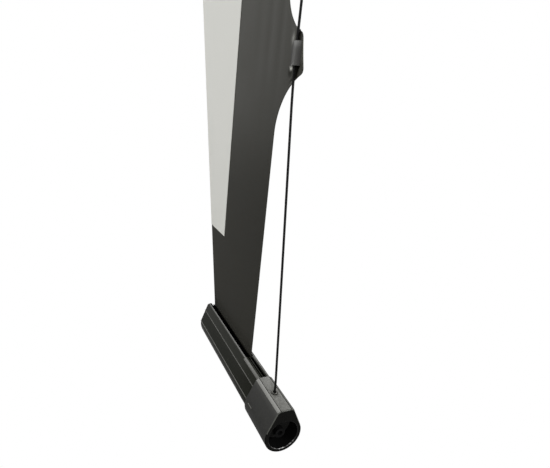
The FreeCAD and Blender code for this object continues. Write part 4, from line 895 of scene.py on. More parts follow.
@dataclass
class TensionedCloth:
    """The black cloth with its tab lobes and the white viewing layer on its front."""

    half_width: float = 1.201
    top_z: float = -0.065
    low_z: float = -1.762
    front_y: float = -0.0240
    thickness: float = 0.0004
    picture_half: float = 1.107
    picture_low: float = -1.677
    picture_high: float = -0.432
    coat_thickness: float = 0.00025
    coat_gap: float = 0.00005
    coat_columns: int = 90
    coat_rows: int = 50
    cable_x: float = 1.225
    lowest_tab_z: float = -1.505
    tab_pitch: float = 0.29
    tab_count: int = 5
    ripples: tuple[tuple[float, float, float], ...] = (
        (0.004, 0.0050, 0.00022), (0.024, 0.0060, 0.00022), (0.045, 0.0080, 0.00014),
    )
    ripple_rise: float = 0.042
    ripple_lift: float = 0.022
    pleat_inset: float = 0.0050
    pleat_rise: float = 0.0105
    pleat_half: float = 0.0034
    pleat_length: float = 0.0060
    pleat_height: float = 0.0008
    mouth_rise: float = 0.0078
    mouth_end: float = 0.0172
    mouth_depth: float = 0.0012
    mouth_inside: float = 0.0020
    mouth_taper: float = 0.7
    mouth_least: float = 0.0006
    mouth_brim: tuple[float, float] = (0.45, 1.3)
    mouth_lead: float = 0.0012
    mouth_tail: float = 0.0015
    lower_mouth: float = 0.0050
    upper_mouth: float = 0.0002
    # Painted shadow: a dark halo below each sleeve, on its inner side.
    shade: float = 0.75
    shade_inset: float = 0.0074
    shade_drop: float = 0.0122
    shade_half: float = 0.0055
    # Painted highlights beside each sleeve's lower mouth and on each pleat, and painted light on the flaps and along
    # the hem:
    scuff_inset: float = 0.0065
    scuff_drop: float = 0.0088
    scuff_half: float = 0.0019
    scuff_power: float = 1.5
    pleat_wear: float = 0.28
    pleat_wear_inset: float = 0.0070
    pleat_wear_rise: float = 0.0102
    pleat_wear_half: float = 0.0027
    hem_wear: float = 0.033
    hem_height: float = 0.009
    hem_first: float = 0.0015
    hem_rows: int = 6
    flap_wear: float = 0.04
    flap_wear_from: float = 0.0035
    flap_wear_to: float = 0.0065
    flap_wear_low: float = -0.010
    flap_wear_high: float = -0.001
    curl_foot: float = 0.0002
    curl_head: float = -0.0006
    curl_half: float = 0.0141
    curl_from: float = 0.0030
    curl_power: float = 1.5
    edge_band: float = 0.086
    edge_columns: int = 40
    middle_columns: int = 12
    lobe_columns: int = 33
    coarse_rows: int = 40
    row_step: float = 0.0030
    flap_step: float = 0.0009
    tab_clear: float = 0.008
    weld: float = 0.00002
    crease: float = 45.0
    lobe: Lobe = field(default_factory=Lobe)

    @property
    def drop(self) -> float:
        """The cloth's height."""
        return self.top_z - self.low_z

    @property
    def tab_heights(self) -> list[float]:
        """The middles of the tabs."""
        return [self.lowest_tab_z + self.tab_pitch * step for step in range(self.tab_count)]

    def _from_tab(self, z: np.ndarray) -> np.ndarray:
        """Signed height above the middle of the nearest tab.

        Args:
            z: Heights.

        Returns:
            The height above the tab at each of them.
        """
        offsets = z[..., None] - np.array(self.tab_heights)
        nearest = np.argmin(np.abs(offsets), axis=-1)
        return np.take_along_axis(offsets, nearest[..., None], axis=-1)[..., 0]

    def curl(self, x: np.ndarray, z: np.ndarray) -> np.ndarray:
        """How far a flap bends back beyond the cable: a little at its foot, and forwards at its head.

        Args:
            x: Places along the screen.
            z: Heights.

        Returns:
            The set-back at each place, less than 0 where the flap bends forwards.
        """
        room = self.half_width + self.lobe.reach - self.cable_x - self.curl_from
        away = np.maximum(np.abs(x) - self.cable_x - self.curl_from, 0.0) / room
        height = smooth_step(-self.curl_half, self.curl_half, self._from_tab(z))
        return (self.curl_foot + (self.curl_head - self.curl_foot) * height) * away**self.curl_power

    def mouths(self, x: np.ndarray, z: np.ndarray) -> np.ndarray:
        """The openings above and below each sleeve, where the cable goes in, set back and painted dark as shade.

        Args:
            x: Places along the screen.
            z: Heights.

        Returns:
            A mask that is 1 in an opening and fades to 0 around it.
        """
        outward = np.abs(x) - self.cable_x
        rise = self._from_tab(z)
        away = np.abs(rise)
        share = np.clip((away - self.mouth_rise) / (self.mouth_end - self.mouth_rise), 0.0, 1.0)
        widest = np.where(rise < 0, self.lower_mouth, self.upper_mouth)
        width = widest * (1.0 - share) ** self.mouth_taper + self.mouth_least
        inside = smooth_step(-self.mouth_inside, -self.mouth_inside / 3, outward)
        outside = 1.0 - smooth_step(*self.mouth_brim, outward / width)
        along = smooth_step(self.mouth_rise - self.mouth_lead, self.mouth_rise, away)
        along *= 1.0 - smooth_step(self.mouth_end - self.mouth_tail, self.mouth_end + self.mouth_tail, away)
        return inside * outside * along

    def sway(self, x: np.ndarray, z: np.ndarray) -> tuple[np.ndarray, np.ndarray]:
        """How far the cloth stands behind its plane, and the painted shade in its openings and below each sleeve's
        foot.

        Args:
            x: Places along the screen.
            z: Heights.

        Returns:
            The set-back and the painted shade at each place.
        """
        across = np.abs(x)
        rise = self._from_tab(z)
        back = np.zeros_like(x)
        for inward, width, depth in self.ripples:
            back += depth * bell(across - self.half_width + inward, width)
        back *= bell(rise - self.ripple_lift, self.ripple_rise)
        beside = bell(across - self.cable_x + self.pleat_inset, self.pleat_half)
        back -= self.pleat_height * beside * bell(rise - self.pleat_rise, self.pleat_length)
        # The openings are set back, and painted shade darkens them.
        dark = self.mouths(x, z)
        back += self.mouth_depth * dark + self.curl(x, z)
        # Painted shadow: the halo below each sleeve's foot.
        aside = bell(across - self.cable_x + self.shade_inset, self.shade_half)
        shaded = self.shade * aside * bell(rise + self.shade_drop, self.shade_half)
        return back, np.maximum(dark, shaded)

    def _rows(self) -> np.ndarray:
        """Places the mesh rows, close together at the tabs.

        Returns:
            The rows' heights.
        """
        hem = self.low_z + np.linspace(self.hem_first, self.hem_height, self.hem_rows)
        coarse = np.concatenate([hem, np.linspace(self.low_z, self.top_z, self.coarse_rows)])
        foot, flap = self.lobe.foot, self.lobe.slope_end
        slope = np.linspace(flap, foot, int((foot - flap) / self.row_step) + 1)
        over = np.linspace(-flap, flap, 2 * int(flap / self.flap_step) + 1)
        fine = [z + np.concatenate([-slope[:0:-1], over, slope[1:]]) for z in self.tab_heights]
        clear = [z for z in coarse if all(abs(z - middle) > foot + self.tab_clear for middle in self.tab_heights)]
        return np.sort(np.concatenate([clear, *fine]))

    def _grid(self, x: np.ndarray, z: np.ndarray) -> tuple[np.ndarray, np.ndarray]:
        """Points on the swaying cloth and the painted shade they carry.

        Args:
            x: Places along the screen, in rows.
            z: Their heights.

        Returns:
            The points and their painted shade, row after row.
        """
        back, rub = self.sway(x, z)
        return np.stack([x, self.front_y + back, z], axis=-1).reshape(-1, 3), rub.reshape(-1)

    def _scuff(self, mesh: bpy.types.Mesh) -> None:
        """Paints highlights on the cloth's front beside each sleeve's lower mouth and on each pleat, and a little
        painted light on its flaps and along its hem.

        Args:
            mesh: The finished cloth.
        """
        places = np.empty(len(mesh.vertices) * 3, dtype=np.float32)
        mesh.vertices.foreach_get("co", places)
        x, y, z = places.reshape(-1, 3).astype(float).T
        outward, rise = np.abs(x) - self.cable_x, self._from_tab(z)
        in_front = y - self.front_y - self.sway(x, z)[0] < self.thickness / 2
        # Painted highlights and painted light, on the front layer only.
        from_spot = np.hypot(outward + self.scuff_inset, rise + self.scuff_drop) / self.scuff_half
        spot = np.exp(-((from_spot**2) ** self.scuff_power))
        pleat = bell(np.hypot(outward + self.pleat_wear_inset, rise - self.pleat_wear_rise), self.pleat_wear_half)
        flap = smooth_step(self.flap_wear_from, self.flap_wear_to, outward)
        flap *= smooth_step(self.flap_wear_low, self.flap_wear_high, rise)
        hem = 1.0 - smooth_step(0.0, self.hem_height, z - self.low_z)
        highlight_share = [spot, self.pleat_wear * pleat, self.flap_wear * flap, self.hem_wear * hem]
        mark(mesh, "scuff", np.maximum.reduce(highlight_share) * in_front)

    def _patches(self) -> list[tuple[np.ndarray, np.ndarray]]:
        """Lays out the cloth's grids: the sheet between its straight edges, and then every lobe.

        Returns:
            The places along the screen and the heights of each grid.
        """
        heights = self._rows()
        near = np.linspace(self.half_width - self.edge_band, self.half_width, self.edge_columns)
        middle = np.linspace(-near[0], near[0], self.middle_columns)[1:-1]
        patches = [np.meshgrid(np.concatenate([-near[::-1], middle, near]), heights)]
        share = np.linspace(0.0, 1.0, self.lobe_columns)
        for tab in self.tab_heights:
            span = heights[np.abs(heights - tab) <= self.lobe.foot + SAME_PLACE]
            reach = self.lobe.reach_at(span - tab)
            for side in Side:
                steps = share if side is Side.RIGHT else share[::-1]
                lobe_x = side.value * (self.half_width + reach[:, None] * steps[None, :])
                patches.append((lobe_x, np.repeat(span[:, None], len(share), axis=1)))
        return patches

    def build_cloth(self) -> bpy.types.Object:
        """Makes the black cloth.

        Returns:
            The cloth as a thin closed sheet.
        """
        all_points, all_painted_shade, faces, count = [], [], [], 0
        for x, z in self._patches():
            points, rub = self._grid(x, z)
            faces += grid_faces(*x.shape, count)
            all_points.append(points)
            all_painted_shade.append(rub)
            count += len(points)
        cloth = mesh_piece("black_cloth", np.concatenate(all_points), faces, Finish.CLOTH_BLACK)
        # The painted shade of the openings and the halo rides on the mesh.
        mark(cloth.data, "rub", np.concatenate(all_painted_shade))
        modified(cloth, "WELD", merge_threshold=self.weld)
        thicken(cloth, self.thickness)
        self._scuff(cloth.data)
        shade_by_angle(cloth, self.crease)
        return cloth

    def build_coat(self) -> bpy.types.Object:
        """Makes the white layer.

        Returns:
            The layer as a thin closed sheet in front of the cloth.
        """
        x, z = np.meshgrid(
            np.linspace(-self.picture_half, self.picture_half, self.coat_columns),
            np.linspace(self.picture_low, self.picture_high, self.coat_rows),
        )
        points, _ = self._grid(x, z)
        points[:, 1] -= self.coat_gap + self.coat_thickness
        coat = mesh_piece("white_layer", points, grid_faces(*x.shape), Finish.SCREEN_WHITE)
        thicken(coat, self.coat_thickness)
        shade_by_angle(coat, self.crease)
        return coat


@dataclass
class TabSleeves:
    """The welded sleeves that hold the cable on the tabs."""

    cloth: TensionedCloth
    height: float = 0.016
    inner_half: float = 0.0085
    outer_half: float = 0.0062
    crown_inner: float = 0.0004
    crown_outer: float = 0.0016
    head_crown: float = 0.0023
    foot_crown: float = 0.0026
    wall: float = 0.0003
    feather: float = 0.00004
    lip: float = 0.0003
    lip_length: float = 0.0026
    corner_lip: float = 0.0002
    corner_inset: float = 0.0024
    corner_half: float = 0.0018
    slant: float = 0.45
    slant_from: float = 0.0008
    clear: float = 0.00002
    # Painted highlight on each sleeve's outside:
    worn_head: float = 0.60
    worn_body: float = 0.20
    worn_reach: float = 0.0055
    worn_outset: float = 0.0010
    worn_across: float = 0.0036
    worn_half: float = 0.0015
    columns: int = 49
    body_rows: int = 13
    lip_rows: int = 7
    crease: float = 40.0

    def _hump(self, across: np.ndarray) -> np.ndarray:
        """The sleeve's round, from 0 at its welds to 1 over the cable, steeper on its outer side."""
        inner = smooth_step(-self.inner_half, -self.crown_inner, across)
        return inner * (1.0 - smooth_step(self.crown_outer, self.outer_half, across))

    def _wear(self, across: np.ndarray, up: np.ndarray) -> np.ndarray:
        """How much painted highlight the outside carries: over the cable, more at the head, most at the lower inner
        corner.

        Args:
            across: Places outward from the cable.
            up: Places above the sleeve's middle.

        Returns:
            The share of the painted highlight at each place.
        """
        spot = bell(np.hypot(across + self.corner_inset, up + self.height / 2), self.worn_half)
        top = smooth_step(self.height / 2 - self.worn_reach, self.height / 2, up)
        highlight_share = self.worn_body + (self.worn_head - self.worn_body) * top
        return np.maximum(highlight_share * bell(across - self.worn_outset, self.worn_across), spot)

    def _inside(self, across: np.ndarray, up: np.ndarray) -> np.ndarray:
        """How far the sleeve's inside stands in front of the cloth.

        Args:
            across: Places outward from the cable.
            up: Places above the sleeve's middle.

        Returns:
            The height at each place, more at the mouths and most at the lower one's inner corner.
        """
        crown = self.foot_crown + (self.head_crown - self.foot_crown) * (up / self.height + 0.5)
        head = smooth_step(self.height / 2 - self.lip_length, self.height / 2, up)
        foot = smooth_step(self.height / 2 - self.lip_length, self.height / 2, -up)
        corner = bell(across + self.corner_inset, self.corner_half)
        flare = self.lip * (head + foot) + self.corner_lip * corner * foot
        return (crown - self.wall + flare) * self._hump(across)

    def _rows(self) -> np.ndarray:
        """Places the mesh rows, close together at the lips.

        Returns:
            The rows' heights above the sleeve's middle.
        """
        lip = np.linspace(0, self.lip_length, self.lip_rows)
        body = np.linspace(-self.height / 2, self.height / 2, self.body_rows)
        return np.unique(np.concatenate([body, self.height / 2 - lip, lip - self.height / 2]).round(PLACE_DIGITS))

    @staticmethod
    def _faces(rows: int, columns: int) -> list[list[int]]:
        """Faces of a closed sheet of two layers.

        Args:
            rows: How many rows of points a layer has.
            columns: How many points a row has.

        Returns:
            The faces of both layers and of the rim between them.
        """
        total = rows * columns
        faces: list[list[int]] = []
        for quad in grid_faces(rows, columns):
            faces += [quad, [n + total for n in reversed(quad)]]
        rim = list(range(columns)) + [r * columns + columns - 1 for r in range(1, rows)]
        rim += [total - 1 - n for n in range(1, columns)] + [r * columns for r in range(rows - 2, 0, -1)]
        return faces + [[here, here + total, there + total, there] for here, there in zip(rim, rim[1:] + rim[:1])]

    def build(self, side: Side) -> bpy.types.Object:
        """Makes one side's row of sleeves.

        Args:
            side: The screen's end.

        Returns:
            The row as one piece.
        """
        outward, rise = np.meshgrid(np.linspace(-self.inner_half, self.outer_half, self.columns), self._rows())
        hump = self._hump(outward)
        x = side.value * (self.cloth.cable_x + outward)
        pulled = self.slant * np.minimum(outward - self.slant_from, 0.0) * hump
        z = self.cloth.lowest_tab_z + rise + pulled * smooth_step(0.0, self.height / 2, -rise)
        inside = self.cloth.front_y + self.cloth.curl(x, z) - self.clear - self._inside(outward, rise)
        outside = inside - self.feather - (self.wall - self.feather) * hump
        points = np.concatenate([np.stack([x, y, z], axis=-1).reshape(-1, 3) for y in (outside, inside)])
        sleeve = mesh_piece(f"tab_sleeve_row_{side.word}", points, self._faces(*x.shape), Finish.SLEEVE_BLACK)
        # Painted highlight on the outside layer; the inside carries none.
        sleeve_highlight = self._wear(outward, rise).reshape(-1)
        mark(sleeve.data, "rub", np.concatenate([sleeve_highlight, np.zeros(len(sleeve_highlight))]))
        work = bmesh.new()
        work.from_mesh(sleeve.data)
        bmesh.ops.recalc_face_normals(work, faces=work.faces)
        work.to_mesh(sleeve.data)
        work.free()
        Repeater.apply(
            sleeve, Repeater.row(), Material=Finish.SLEEVE_BLACK.material, Count=self.cloth.tab_count,
            Step=(0.0, 0.0, self.cloth.tab_pitch),
        )
        shade_by_angle(sleeve, self.crease)
        return sleeve


@dataclass
class Cord:
    """A round cord along a smooth route."""

    name: str
    route: tuple[Point, ...]
    diameter: float
    finish: Finish
    sides: int = 6
    order: int = 3
    steps: int = 10
    crease: float = 40.0

    def build(self) -> bpy.types.Object:
        """Makes the cord.

        Returns:
            The cord as a closed tube.
        """
        curve = bpy.data.curves.new(self.name, "CURVE")
        curve.dimensions = "3D"
        curve.bevel_depth = self.diameter / 2
        curve.bevel_resolution = self.sides // 2
        curve.use_fill_caps = True
        spline = curve.splines.new("NURBS")
        spline.points.add(len(self.route) - 1)
        for point, place in zip(spline.points, self.route):
            point.co = (*place, 1.0)
        spline.order_u = self.order
        spline.use_endpoint_u = True
        spline.resolution_u = self.steps
        holder = bpy.data.objects.new(self.name + "_route", curve)
        bpy.context.scene.collection.objects.link(holder)
        graph = bpy.context.evaluated_depsgraph_get()
        mesh = bpy.data.meshes.new_from_object(holder.evaluated_get(graph))
        bpy.data.objects.remove(holder)
        dress(mesh, self.finish)
        piece = link_piece(self.name, mesh)
        shade_by_angle(piece, self.crease)
        return piece


@dataclass
class ScreenAssembly:
    """All that hangs between the roller and the bar, and shortens as the bar rises."""

    cloth: TensionedCloth = field(default_factory=TensionedCloth)
    bar_travel: float = 1.663
    cable_diameter: float = 0.0019
    cable_y: float = -0.025
    eyelet_x: float = 1.254
    eyelet_top: float = -1.7608
    sleeve_exit: float = -1.519
    lead_in: float = 0.006
    bend_run: float = 0.05

    def _cable(self, side: Side) -> Cord:
        """One tension cable: straight down the tabs, then aslant to its eyelet.

        Args:
            side: The screen's end.

        Returns:
            The cable with its route.
        """
        near, far = side.value * self.cloth.cable_x, side.value * self.eyelet_x
        turn = self.bend_run / (self.sleeve_exit - self.eyelet_top - self.lead_in)
        places = (
            (near, self.cloth.top_z),
            (near, self.sleeve_exit + self.bend_run),
            (near, self.sleeve_exit),
            (near + (far - near) * turn, self.sleeve_exit - self.bend_run),
            (far - (far - near) * turn / 4, self.eyelet_top + self.lead_in + self.bend_run / 4),
            (far, self.eyelet_top + self.lead_in),
            (far, self.eyelet_top),
        )
        route = tuple((x, self.cable_y, z) for x, z in places)
        return Cord(f"tension_cable_{side.word}", route, self.cable_diameter, Finish.CABLE_BLACK)

    def _hang(self, piece: bpy.types.Object, slot: str, *nodes: str) -> bpy.types.Object:
        """Sets a soft piece on the housing, with a mesh of its own.

        Args:
            piece: The soft piece.
            slot: Its record slot.
            *nodes: The nodes that it stands for.

        Returns:
            The same piece.
        """
        settle(piece, Body.HOUSING, slot, *nodes)
        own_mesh(piece)
        return piece

    def build(self, rolled: Sequence[bpy.types.Object]) -> None:
        """Makes and hangs the cloth, its sleeves and the cables.

        Args:
            rolled: The parts of the same cloth that are on the roller and in the bar. Not used.
        """
        white = self._hang(self.cloth.build_coat(), "screen_white", "viewing_surface")
        for side in Side:
            row = TabSleeves(self.cloth).build(side)
            self._hang(row, "black_cloth", f"tab_sleeves_{side.word}")
            self._hang(self._cable(side).build(), "cable_black", f"cable_{side.word}")
        black = self._hang(self.cloth.build_cloth(), "black_cloth", "backing_fabric")


@dataclass
class RolledCloth:
    """The same cloth where it stays on the tube, and where its hem holds the bar."""

    half_width: float = 1.201
    stations: int = 25
    roller_y: float = -0.0561
    roller_z: float = -0.065
    tube_radius: float = 0.030
    wrap_radius: float = 0.0318
    wrap_gap: float = 0.0001
    turns: float = 3.75
    turn_steps: int = 40
    thickness: float = 0.00034
    slot_y: float = -0.0238
    bar_z: float = -1.762
    rod_z: float = -1.7680
    loop_radius: float = 0.00227
    loop_steps: int = 36
    loop_mouth: float = 14.0
    tail_set_back: float = 0.0001
    tail_rise: float = 0.0016
    crease: float = 50.0

    def _run(self, name: str, profile: np.ndarray) -> bpy.types.Object:
        """Draws a profile along the whole width, as a thin sheet.

        Args:
            name: The sheet's name.
            profile: The profile's depths and heights.

        Returns:
            The sheet.
        """
        stations = np.linspace(-self.half_width, self.half_width, self.stations)
        points = np.array([(x, y, z) for x in stations for y, z in profile])
        quads = grid_faces(self.stations, len(profile))
        faces = [[first, across, beyond, along] for first, along, beyond, across in quads]
        sheet = thicken(mesh_piece(name, points, faces, Finish.CLOTH_BLACK), self.thickness)
        shade_by_angle(sheet, self.crease)
        return sheet

    def _wrap(self) -> np.ndarray:
        """The safety turns on the tube, as one spiral.

        Returns:
            The profile's depths and heights.
        """
        angle = np.linspace(0.0, 2 * math.pi * self.turns, int(self.turn_steps * self.turns))
        inner = self.tube_radius + self.thickness / 2 + self.wrap_gap
        outer = self.wrap_radius - self.thickness
        radius = inner + (outer - inner) * angle / angle[-1]
        return np.stack([self.roller_y + radius * np.cos(angle), self.roller_z + radius * np.sin(angle)], axis=-1)

    def _hem(self) -> np.ndarray:
        """The hem round its rod, with its tail up through the bar's slot.

        Returns:
            The profile's depths and heights.
        """
        gap = math.radians(self.loop_mouth)
        angle = np.linspace(math.pi / 2 - gap, -3 * math.pi / 2 + gap, self.loop_steps)
        depths = self.slot_y + self.loop_radius * np.cos(angle)
        heights = self.rod_z + self.loop_radius * np.sin(angle)
        tail_end = [self.slot_y + self.tail_set_back, self.rod_z + self.loop_radius + self.tail_rise]
        return np.concatenate([[[self.slot_y, self.bar_z], tail_end], np.stack([depths, heights], axis=-1)])

    def build(self) -> list[bpy.types.Object]:
        """Makes both parts.

        Returns:
            The turns on the tube and the hem.
        """
        wrap = settle(self._run("cloth_on_tube", self._wrap()), Body.ROLLER, "black_cloth", "fabric_wrap")
        hem = settle(self._run("cloth_hem", self._hem()), Body.BAR, "black_cloth", "hem_loop")
        return [wrap, hem]


@dataclass
class WeightBar:
    """The bar and its moulded end caps."""

    cap_end_x: float = 1.276
    bar_y: float = -0.025
    bar_z: float = -1.762
    round_z: float = -1.7852
    lip_from: float = 0.0036
    lip_to: float = 0.0062
    lip_split: float = 0.0047
    mouth_half: float = 0.0038
    lip_drop: float = 0.0018
    inner_drop: float = 0.0045
    cloth_half: float = 1.2005
    upright_from: float = 0.7
    bead_drops: tuple[float, ...] = (0.00825, 0.0199)
    bead_half: float = 0.00055
    bead_outset: float = 0.0088
    bar_edge: float = 0.0001
    recess_radius: float = 0.0126
    recess_depth: float = 0.013
    recess_slack: float = 0.001
    skin: float = 0.0001
    mouth_slack: float = 0.00005
    end_slack: float = 0.00001
    rim: float = 0.0006
    rim_steps: int = 6
    rim_facing: float = 0.98
    floor_facing: float = 0.9
    end_facing: float = 0.93
    round_facing: float = 0.15
    edge: float = 0.00018
    end_round: float = 0.00095
    groove_from: float = 0.00428
    groove_drop: float = 0.00003
    strip_from: float = 0.00484
    strip_drop: float = 0.00152
    edge_drop: float = 0.0185
    rib_start: float = 1.2385
    rib_end: float = 1.2455
    rib_drop: float = 0.0185
    rib_diameter: float = 0.0011
    rib_points: int = 4
    cap_radius: float = 0.0157
    bar_finishes: tuple[Finish, ...] = (Finish.BAR_ANODISED, Finish.BAR_RUBBED, Finish.BAR_INNER)
    cap_finishes: tuple[Finish, ...] = (
        Finish.CAP_GRAIN, Finish.CAP_END, Finish.CAP_HOLLOW, Finish.CAP_RIM, Finish.CAP_EDGE, Finish.CAP_STRIP,
        Finish.CAP_WELL,
    )

    def _bar_finish(self, face: bpy.types.MeshPolygon) -> Finish:
        """Which finish one of the bar's faces carries: painted highlights on the lips and beads, and painted shade in
        the mouth beside the cloth.

        Args:
            face: The face.

        Returns:
            The face's finish.
        """
        outward, drop = abs(face.center.y - self.bar_y), self.bar_z - face.center.z
        beside, upright = abs(face.center.x) < self.cloth_half, abs(face.normal.y) > self.upright_from
        # Painted shade: the slot's walls and the lip beside the cloth go near-black.
        if drop < self.inner_drop and outward < self.mouth_half and (beside or upright):
            return Finish.BAR_INNER
        # Painted highlight: the lip tops, narrower beside the cloth where it shades them, and the beads.
        if drop < self.lip_drop:
            painted_lit = self.lip_from < outward < (self.lip_split if beside else self.lip_to)
        else:
            painted_lit = outward > self.bead_outset and any(abs(drop - bead) < self.bead_half for bead in self.bead_drops)
        return Finish.BAR_RUBBED if painted_lit else Finish.BAR_ANODISED

    def _part_lips(self, work: bmesh.types.BMesh) -> None:
        """Parts the bar's faces along its lips and at the cloth's edges.

        Args:
            work: The bar's mesh.
        """
        planes = [((way * self.cloth_half, 0.0, 0.0), (1.0, 0.0, 0.0)) for way in (1, -1)]
        for outward in (self.mouth_half, self.lip_split):
            planes += [((0.0, self.bar_y + way * outward, 0.0), (0.0, 1.0, 0.0)) for way in (1, -1)]
        for place, normal in planes:
            parts = [*work.verts, *work.edges, *work.faces]
            bmesh.ops.bisect_plane(work, geom=parts, dist=SAME_PLACE, plane_co=place, plane_no=normal)

    def _bar(self) -> bpy.types.Object:
        """The bar's extrusion with painted highlights on its lips and beads, and painted shade in its mouth.

        Returns:
            The new piece.
        """
        bar = softened_copy("weight_bar", "bar_extrusion", self.bar_finishes, self.bar_edge, self._part_lips)
        for face in bar.data.polygons:
            face.material_index = self.bar_finishes.index(self._bar_finish(face))
        return bar

    def _from_round(self, place: Vector) -> float:
        """A place's distance from the axis of the bar's round."""
        return math.hypot(place.y - self.bar_y, place.z - self.round_z)

    def _on_mouth(self, place: Vector) -> bool:
        """Whether a place is on the sharp mouth of a cap's recess."""
        at_end = abs(abs(place.x) - self.cap_end_x) < self.end_slack
        return at_end and abs(self._from_round(place) - self.recess_radius) < self.mouth_slack

    def _break_mouth(self, work: bmesh.types.BMesh) -> None:
        """Rounds the mouth of a cap's recess.

        Args:
            work: The cap's mesh.
        """
        mouth = [edge for edge in work.edges if all(self._on_mouth(vert.co) for vert in edge.verts)]
        bmesh.ops.bevel(
            work, geom=mouth, offset=self.rim, segments=self.rim_steps, profile=0.5, affect="EDGES", clamp_overlap=True
        )

    def _top_finish(self, place: Vector) -> Finish:
        """Which finish a cap carries near its top: grain, then grooves painted dark as shade, then a front strip
        painted light as a highlight and a rear strip in the lighter edge colour.

        Args:
            place: A face's middle.

        Returns:
            The face's finish.
        """
        forward, drop = self.bar_y - place.y, self.bar_z - place.z
        # A painted highlight on the front strip; the rear strip takes the lighter edge colour.
        if abs(forward) > self.strip_from:
            return Finish.CAP_STRIP if forward > 0 else Finish.CAP_EDGE
        # Painted shade in the grooves beside the top.
        grooved = abs(forward) > self.groove_from and drop > self.groove_drop
        return Finish.CAP_WELL if grooved else Finish.CAP_GRAIN

    def _cap_finish(self, face: bpy.types.MeshPolygon, side: Side) -> Finish:
        """Which finish one of a cap's faces carries.

        Args:
            face: The face.
            side: The cap's end of the screen.

        Returns:
            The face's finish.
        """
        far, depth = self._from_round(face.center), self.cap_end_x - face.center.x * side.value
        drop, facing = self.bar_z - face.center.z, face.normal.x * side.value
        # Painted glints: the rim of the recess.
        if depth < self.rim and abs(far - self.recess_radius) < self.rim and abs(facing) < self.rim_facing:
            return Finish.CAP_RIM
        # The recess: its floor painted lighter against the shadow, its walls painted as shade.
        if far < self.recess_radius + self.skin and self.skin < depth < self.recess_depth + self.recess_slack:
            return Finish.CAP_HOLLOW if facing > self.floor_facing else Finish.CAP_WELL
        # The end face painted darker as shade; the rounded edges round it painted lighter as highlight.
        if depth < self.end_round and facing > self.round_facing:
            return Finish.CAP_END if facing > self.end_facing or drop > self.edge_drop else Finish.CAP_EDGE
        return self._top_finish(face.center) if drop < self.strip_drop else Finish.CAP_GRAIN

    def _cap(self, side: Side) -> bpy.types.Object:
        """One end cap, with a dull end face painted darker as shade, a painted highlight on the edge round it, a recess
        whose floor is painted lighter and walls painted as shade, and painted glints on the rim between them.

        Args:
            side: The cap's end of the screen.

        Returns:
            The new piece.
        """
        node, name = f"bar_cap_{side.word}", f"moulded_cap_{side.word}"
        cap = softened_copy(node, name, self.cap_finishes, self.edge, self._break_mouth)
        for face in cap.data.polygons:
            face.material_index = self.cap_finishes.index(self._cap_finish(face, side))
        return cap

    def _rib(self, side: Side) -> bpy.types.Object:
        """The short rib on a cap's front, in line with the bar's lower bead.

        Args:
            side: The cap's end of the screen.

        Returns:
            The new piece.
        """
        level = self.bar_z - self.rib_drop
        front = self.bar_y - math.sqrt(self.cap_radius**2 - (level - self.round_z) ** 2)
        along = np.linspace(self.rib_start, self.rib_end, self.rib_points)
        route = tuple((side.value * float(x), front, level) for x in along)
        # The rib carries the beads' painted highlight.
        return Cord(f"cap_rib_{side.word}", route, self.rib_diameter, Finish.BAR_RUBBED).build()

    def build(self) -> None:
        """Dresses the bar and both caps."""
        settle(self._bar(), Body.BAR, "bar_anodised", "weight_bar")
        for side in Side:
            settle(self._cap(side), Body.BAR, "cap_plastic", f"bar_cap_{side.word}")
            settle(self._rib(side), Body.BAR, "cap_plastic")


@dataclass
class Housing:
    """The housing's shell, cover, end caps and brackets with broken edges."""

    edge: float = 0.0004
    cap_edge: float = 0.0003
    lead_diameter: float = 0.0045
    lead_route: tuple[Point, ...] = (
        (-1.2730, -0.0561, -0.0857),
        (-1.2730, -0.0561, -0.0985),
        (-1.2730, -0.0561, -0.1135),
        (-1.2560, -0.0561, -0.1135),
        (-1.1995, -0.0561, -0.1135),
    )

    def build(self) -> None:
        """Makes each piece and sets it on the housing."""
        plan = (
            ("housing_shell", "shell_extrusion", Finish.HOUSING_BLACK, self.edge, "housing_black"),
            ("service_cover", "cover_extrusion", Finish.HOUSING_BLACK, self.edge, "housing_black"),
            ("end_cap_left", "end_cover_left", Finish.END_CAP, self.cap_edge, "cap_plastic"),
            ("end_cap_right", "end_cover_right", Finish.END_CAP, self.cap_edge, "cap_plastic"),
            ("wall_bracket_left", "bracket_plate_left", Finish.BRACKET_BLACK, self.edge, "housing_black"),
            ("wall_bracket_right", "bracket_plate_right", Finish.BRACKET_BLACK, self.edge, "housing_black"),
        )
        for node, name, finish, edge, slot in plan:
            settle(softened_copy(node, name, (finish,), edge), Body.HOUSING, slot, node)
        lead = Cord("lead_to_motor", self.lead_route, self.lead_diameter, Finish.LEAD_RUBBER)
        settle(lead.build(), Body.HOUSING, "lead_rubber", "motor_lead")


class Drive(Enum):
    """How a screw is driven."""

    CROSS = "cross"
    HEX = "hex"


